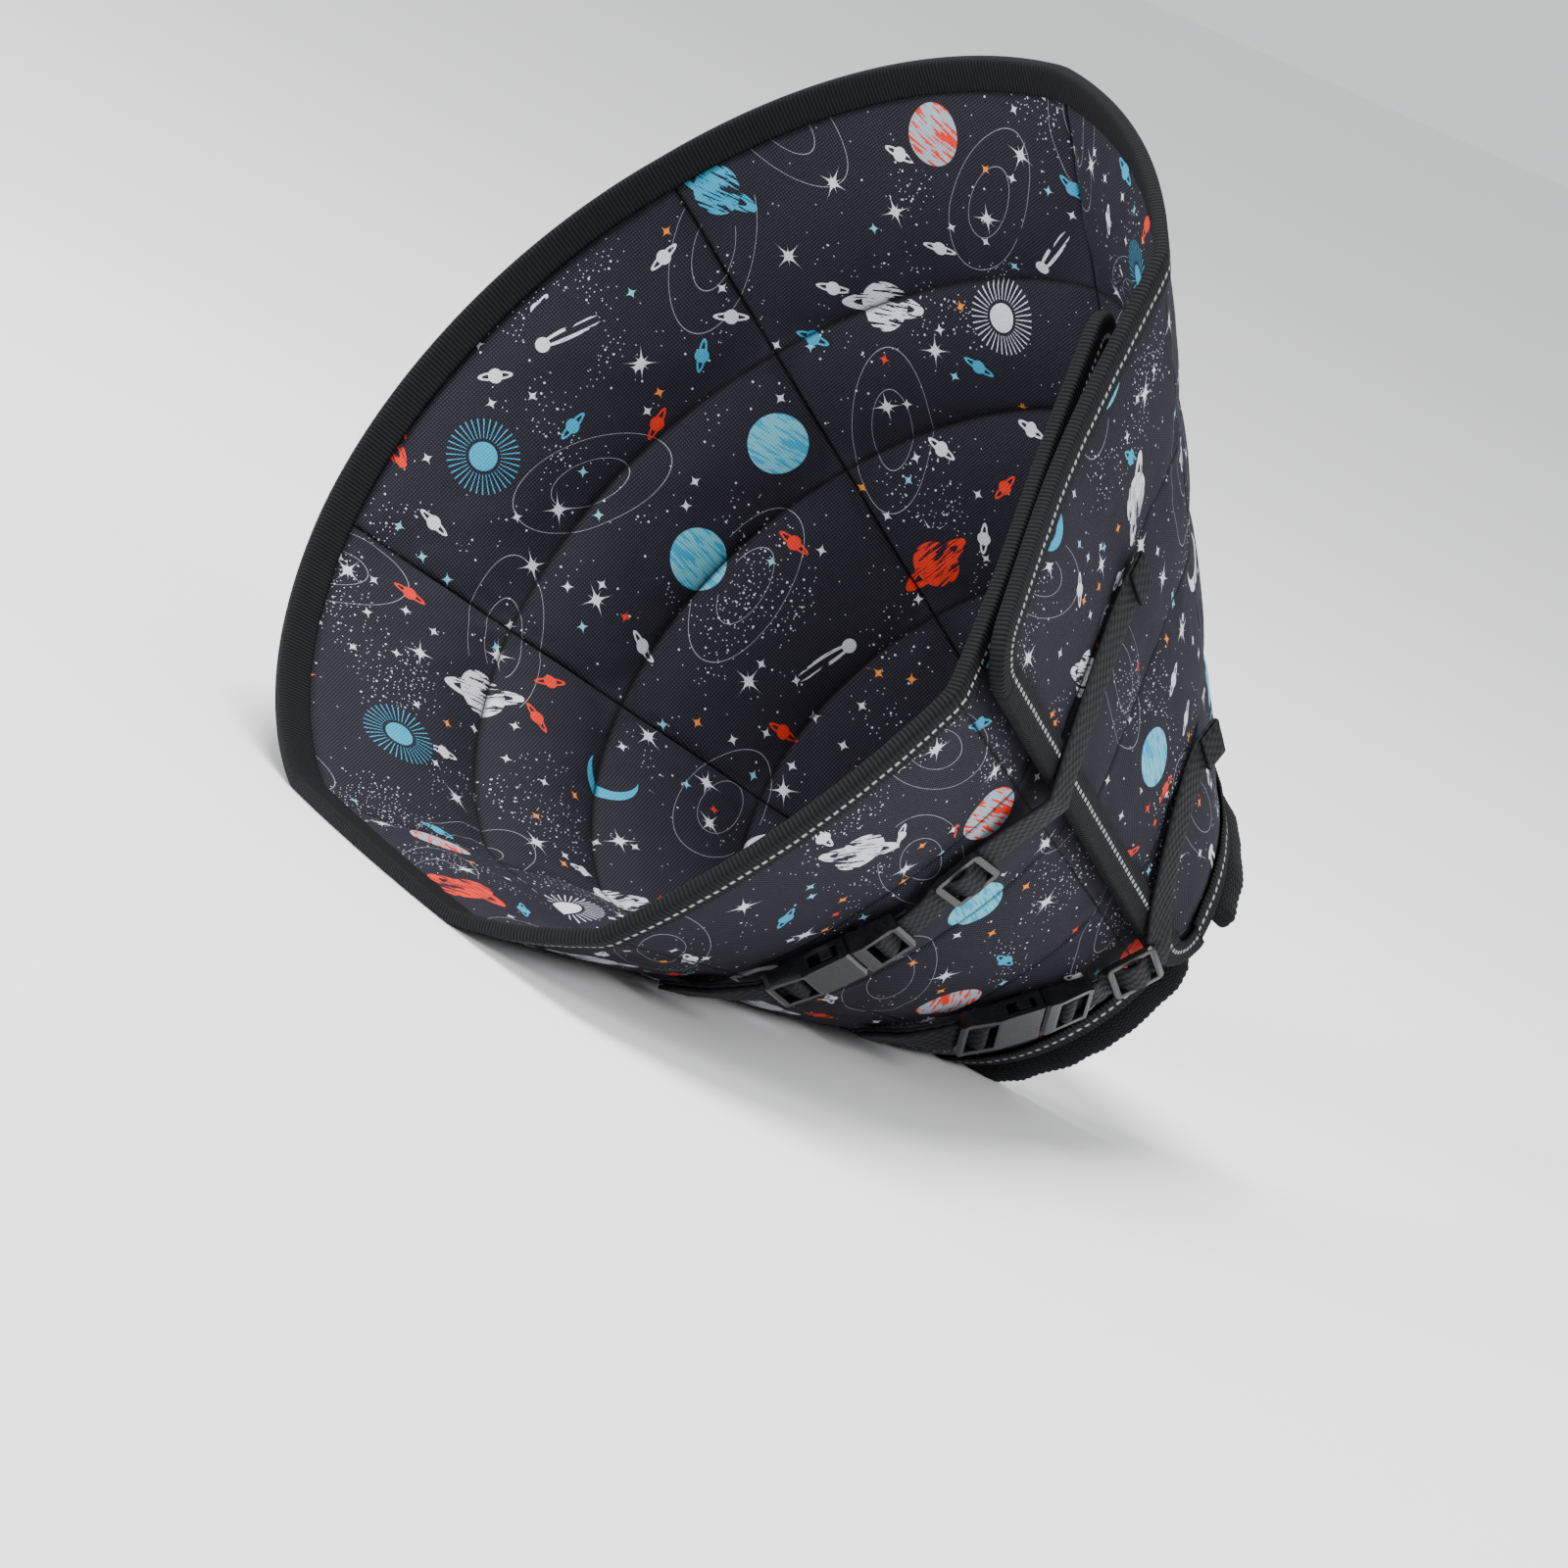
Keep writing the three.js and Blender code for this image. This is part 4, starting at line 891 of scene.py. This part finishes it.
WEBBING_WIDTH = 15
WEBBING = 1.3
PAD_TOP = 2.7
FACE = WEBBING / 2
ON_PAD = PAD_TOP + CLEARANCE + FACE
LAYER = WEBBING + CLEARANCE
WEBBING_HEM = 10
SEWN_RETURN = 12
RIM = 2.4
BAR = 2.4
WIDE_SLOT = 4.6
NARROW_SLOT = 3.2
SOCKET_LENGTH = 17
PLUG_LENGTH = 5
SLIDE_SLOT = 5
SLIDE_BAR = 3.2
SLIDE_HEIGHT = 2.2
WRAP = BAR / 2 + CLEARANCE + FACE
BAR_HEIGHT = FACE + CLEARANCE + WRAP
HALF_BUCKLE = RIM + WIDE_SLOT + BAR + NARROW_SLOT + (SOCKET_LENGTH + PLUG_LENGTH) / 2
BAR_PLACE = HALF_BUCKLE - RIM - WIDE_SLOT - BAR / 2
SLIDE_HALF = RIM + SLIDE_SLOT + SLIDE_BAR / 2
OVER_SLIDE = FACE + CLEARANCE + SLIDE_HEIGHT + CLEARANCE * 1.5 + FACE
WRAPPED = (-90, -320)
WRAP_STEPS = 14
RISE_TO_BAR = 2.8
DROP_FROM_BAR = 4.4
LEVEL_AGAIN = 6
STEP_DOWN = 3
OVER_BAR = 0.8
BESIDE_RIM = 0.9

UPPER_MARKS = [
    (-33, 0.318, 0, ""), (-37, 0.32, 0, ""), (-40, 0.322, 0.6, ""), (-46, 0.33, 2.6, "buckle"),
    (-66, 0.36, 2.6, ""), (-71, 0.363, 1, "slide"), (-79.5, 0.36, 1, ""), (-84, 0.355, 2.5, ""),
    (-88.5, 0.35, 7.6, ""), (267.5, 0.342, 0.4, ""), (262, 0.335, 0, ""), (256, 0.33, 0, ""),
    (250, 0.327, 0, ""), (244, 0.325, 0, ""), (238, 0.325, 0, ""), (232, 0.327, 0.6, ""),
]
NECK_MARKS = [
    (-36, 0.7, 0, ""), (-40, 0.705, 0, ""), (-44, 0.712, 1.2, ""), (-50, 0.73, 3.6, "buckle"),
    (-76.5, 0.85, 3.6, ""), (-78.5, 0.855, 3.4, "slide"), (-90.5, 0.868, 9.6, ""),
    (266.5, 0.85, 0.9, ""), (261, 0.81, 0, ""), (255, 0.78, 0, ""), (249, 0.76, 0, ""),
    (243, 0.75, 0, ""), (237, 0.745, 0, ""), (231, 0.745, 0.6, ""), (225, 0.747, 4, ""),
]


class StrapLine:
    """The line that a strap follows over the cone. at holds the distance along it of each mark, and
    middle_of that of the buckle and of the slide."""

    def __init__(self, marks):
        turn = np.array([mark[0] for mark in marks], float)
        down = np.array([mark[1] for mark in marks]) * slant(turn)
        lift = np.array([mark[2] for mark in marks], float)
        self.points = on_wall(turn, down, ON_PAD + lift)
        self.at = distances(self.points)
        out = wall_out(turn, down)
        carries = [mark[3] for mark in marks]
        self.middle_of = {
            kind: (self.at[i] + self.at[i + 1]) / 2 for i, kind in enumerate(carries) if kind
        }
        along = []
        face = []
        last = len(marks) - 1
        for i in range(len(marks)):
            start = i if carries[i] else max(i - 1, 0)
            end = i if i > 0 and carries[i - 1] else min(i + 1, last)
            along.append(self.points[end] - self.points[start])
            face.append(out[start] + out[end])
        self.along = unit(np.array(along))
        self.face = unit(np.array(face))

    def frame(self, distance):
        """The point at a distance along the line, the way out of the cone, and the way across."""
        i = np.clip(np.searchsorted(self.at, distance) - 1, 0, len(self.at) - 2)
        u = ((distance - self.at[i]) / (self.at[i + 1] - self.at[i]))[:, None]
        point = self.points[i] * (1 - u) + self.points[i + 1] * u
        along = unit(self.along[i] * (1 - u) + self.along[i + 1] * u)
        face = self.face[i] * (1 - u) + self.face[i + 1] * u
        across = unit(np.cross(along, face))
        return point, np.cross(across, along), across

    def level(self, start, end, height):
        """A path at one height from start to end, with a corner at each mark between them."""
        inner = [mark for mark in self.at if (mark - start) * (mark - end) < 0]
        if end < start:
            inner.reverse()
        return [(x, height) for x in (start, *inner, end)]


def arc(middle, radius, start, end, steps):
    angles = np.radians(np.linspace(start, end, steps + 1))
    return [(middle[0] + radius * math.cos(a), middle[1] + radius * math.sin(a)) for a in angles]


def round_bar(bar, side):
    turn = [(bar + side * x, y) for x, y in arc((0, BAR_HEIGHT), WRAP, *WRAPPED, WRAP_STEPS)]
    return [(bar + side * RISE_TO_BAR, 0), *turn, (bar + side * DROP_FROM_BAR, LAYER)]


def tab_path(line):
    """From the sewn end out to the socket's bar, round it and back on top, as distance and height."""
    bar = line.middle_of["buckle"] - BAR_PLACE
    return [
        *line.level(0, bar - RISE_TO_BAR * 2, 0),
        *round_bar(bar, -1),
        *line.level(bar - LEVEL_AGAIN, 0, LAYER),
    ]


def strap_path(line):
    """Round the plug's bar, over the slide's bar and on over the flap, where the end is folded back."""
    bar = line.middle_of["buckle"] + BAR_PLACE
    slide = line.middle_of["slide"]
    end = line.at[-1]
    fold = end - LAYER / 2
    before_slide = slide - SLIDE_HALF - 1
    over = SLIDE_BAR / 2 + OVER_BAR
    beside = SLIDE_BAR / 2 + SLIDE_SLOT - BESIDE_RIM
    return [
        (min(bar + SEWN_RETURN, before_slide - STEP_DOWN * 2), 0),
        *round_bar(bar, 1),
        *line.level(bar + LEVEL_AGAIN, before_slide - STEP_DOWN, LAYER),
        (before_slide, 0),
        (slide - beside, 0),
        (slide - over, OVER_SLIDE),
        (slide + over, OVER_SLIDE),
        (slide + beside, 0),
        *line.level(slide + SLIDE_HALF + 1, fold - LAYER, 0),
        *arc((fold, LAYER / 2), LAYER / 2, -90, 90, 6),
        *line.level(fold - LAYER, end - WEBBING_HEM, LAYER),
    ]


def eased(path):
    """The path with its corners cut twice, each time by a quarter, as webbing bends."""
    for _ in range(2):
        cut = [path[0]]
        for start, end in zip(path, path[1:]):
            cut += [start * 0.75 + end * 0.25, start * 0.25 + end * 0.75]
        path = np.array([*cut, path[-1]])
    return path


HALF = WEBBING_WIDTH / 2
WEBBING_SECTION = np.array([
    (-HALF + 0.4, FACE), (-HALF / 2, FACE), (0, FACE), (HALF / 2, FACE), (HALF - 0.4, FACE),
    (HALF - 0.1, FACE * 0.7), (HALF, 0), (HALF - 0.1, -FACE * 0.7),
    (HALF - 0.4, -FACE), (HALF / 2, -FACE), (0, -FACE), (-HALF / 2, -FACE), (-HALF + 0.4, -FACE),
    (-HALF + 0.1, -FACE * 0.7), (-HALF, 0), (-HALF + 0.1, FACE * 0.7), (-HALF + 0.4, FACE),
])


def webbing_skin(line, path):
    heading = unit(np.gradient(path, axis=0))
    run = distances(path)

    def place(around, along):
        across_strap, height = WEBBING_SECTION[around].T
        x = path[along, 0] - heading[along, 1] * height
        y = path[along, 1] + heading[along, 0] * height
        point, out, across = line.frame(x)
        points = point + out * y[:, None] + across * across_strap[:, None]
        return points, np.stack([run[along], across_strap], axis=1)

    return place


# Polypropylene webbing: coarse yarns that cross like bricks, a little shiny on their crowns.
YARN = 1.9
YARN_RELIEF = 0.5
webbing, tree, shader = new_material("polypropylene_webbing", 0.65, Specular_IOR_Level=0.14)
flat_place = add(tree, "UVMap", uv_map="flat")
parts = add(tree, "SeparateXYZ", {
    0: add(tree, "VectorMath", {0: flat_place, "Scale": 1000 * math.pi / YARN}, operation="SCALE")})
crowns = [add(tree, "Math", {0: parts.outputs[axis]}, operation="SINE") for axis in "XY"]
relief = add(tree, "Math", {0: both(tree, *crowns), 1: 0.5, 2: 0.5}, operation="MULTIPLY_ADD")
tone = add(tree, "MixRGB", {"Fac": relief, "Color1": linear("#020203"), "Color2": linear("#1b1c1f")})
surfaced(tree, shader, tone, relief, YARN_RELIEF, 0.8)

for prefix, marks in (("upper", UPPER_MARKS), ("neck", NECK_MARKS)):
    line = StrapLine(marks)
    for kind, path in (("tab", tab_path(line)), ("strap", strap_path(line))):
        path = eased(np.array(path, float))
        node_name = f"{prefix}_{kind}"
        strip = swept(f"{node_name}_webbing", len(WEBBING_SECTION) - 1, len(path) - 1,
                      webbing_skin(line, path))
        strip.data.materials.append(webbing)
        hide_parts(node_name)


# Buckles, slides and the cord lock
# Injection-moulded plastic: glossy black acetal for the buckles and the cord lock, and satin nylon for
# the slides. Each has the frame's own shape, with its edges rounded. Webbing and cord run through them.

EDGE = 0.35
FLAT_WITHIN = 2
SHARPER_THAN = 28


def moulded(node_name, plastic):
    skin = bmesh.new()
    skin.from_mesh(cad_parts[node_name].data)
    bmesh.ops.remove_doubles(skin, verts=skin.verts, dist=1e-6)
    bmesh.ops.dissolve_limit(skin, angle_limit=math.radians(FLAT_WITHIN), verts=skin.verts,
                             edges=skin.edges)
    piece = finished(f"{node_name}_moulding", skin)
    piece.data.materials.append(plastic)
    rounding = piece.modifiers.new("rounding", "BEVEL")
    rounding.width = EDGE / 1000
    rounding.segments = 2
    rounding.limit_method = "ANGLE"
    rounding.angle_limit = math.radians(SHARPER_THAN)
    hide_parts(node_name)
    return piece


# Acetal: glossy, with faint flow marks and small scuffs that dull it in patches.
FLOW_RELIEF = 0.2
acetal, tree, shader = new_material("moulded_acetal", 0.25, IOR=1.48, Specular_IOR_Level=0.4)
place = add(tree, "TexCoord").outputs["Object"]
marks = add(tree, "TexNoise", {"Vector": place, "Scale": 260, "Detail": 4, "Roughness": 0.6})
dulled = add(tree, "MapRange", {"Value": marks.outputs["Fac"], "To Min": 0.14, "To Max": 0.36})
tree.links.new(dulled.outputs[0], shader.inputs["Roughness"])
tone = add(tree, "MixRGB", {
    "Fac": marks.outputs["Fac"], "Color1": linear("#08090a"), "Color2": linear("#121315")})
surfaced(tree, shader, tone, marks.outputs["Fac"], FLOW_RELIEF, 0.15)

# Nylon: the slides are satin and a little greyer.
GRAIN_RELIEF = 0.1
nylon, tree, shader = new_material("moulded_nylon", 0.36, IOR=1.53, Specular_IOR_Level=0.3)
place = add(tree, "TexCoord").outputs["Object"]
grain = add(tree, "TexNoise", {"Vector": place, "Scale": 900, "Detail": 3})
tone = add(tree, "MixRGB", {
    "Fac": grain.outputs["Fac"], "Color1": linear("#0c0d0d"), "Color2": linear("#171817")})
surfaced(tree, shader, tone, grain.outputs["Fac"], GRAIN_RELIEF, 0.25)

for node_name in ("upper_buckle_socket", "upper_buckle_plug", "neck_buckle_socket", "neck_buckle_plug"):
    moulded(node_name, acetal)
lock_pieces = [moulded(node_name, acetal)
               for node_name in ("cord_lock_body", "cord_lock_button")]
for node_name in ("upper_slide", "neck_slide"):
    moulded(node_name, nylon)


# The floor and the light
# A pale matte floor, a large soft light over the cone, and weaker ones in front of it and beside it.

FLOOR_REACH = 6
AIM = Vector((0, 0, 0.12))

floor_skin = bmesh.new()
bmesh.ops.create_grid(floor_skin, x_segments=1, y_segments=1, size=FLOOR_REACH)
floor_mesh = bpy.data.meshes.new("floor")
floor_skin.to_mesh(floor_mesh)
floor_skin.free()
floor = bpy.data.objects.new("floor", floor_mesh)
bpy.context.scene.collection.objects.link(floor)
paper, tree, shader = new_material("white_paper", 0.9)
shader.inputs["Base Color"].default_value = linear("#f2f2f2")
floor_mesh.materials.append(paper)

# name, place, size in metres and power in watts
LIGHTS = [
    ("over", (-0.2, -0.5, 2.4), 1.3, 105),
    ("front", (0.2, -2.7, 1.2), 1.0, 66),
    ("side", (2.6, 0.7, 1.4), 1.0, 50),
]
for name, where_from, size, power in LIGHTS:
    light = bpy.data.lights.new(name, "AREA")
    light.shape = "DISK"
    light.size = size
    light.energy = power
    lamp = bpy.data.objects.new(name, light)
    lamp.location = where_from
    toward = AIM - Vector(where_from)
    lamp.rotation_euler = toward.to_track_quat("-Z", "Y").to_euler()
    bpy.context.scene.collection.objects.link(lamp)

sky_light = bpy.data.worlds.new("studio")
sky_light.use_nodes = True
sky_light.node_tree.nodes["Background"].inputs["Color"].default_value = linear("#f4f6f8")
sky_light.node_tree.nodes["Background"].inputs["Strength"].default_value = 1.0
bpy.context.scene.world = sky_light
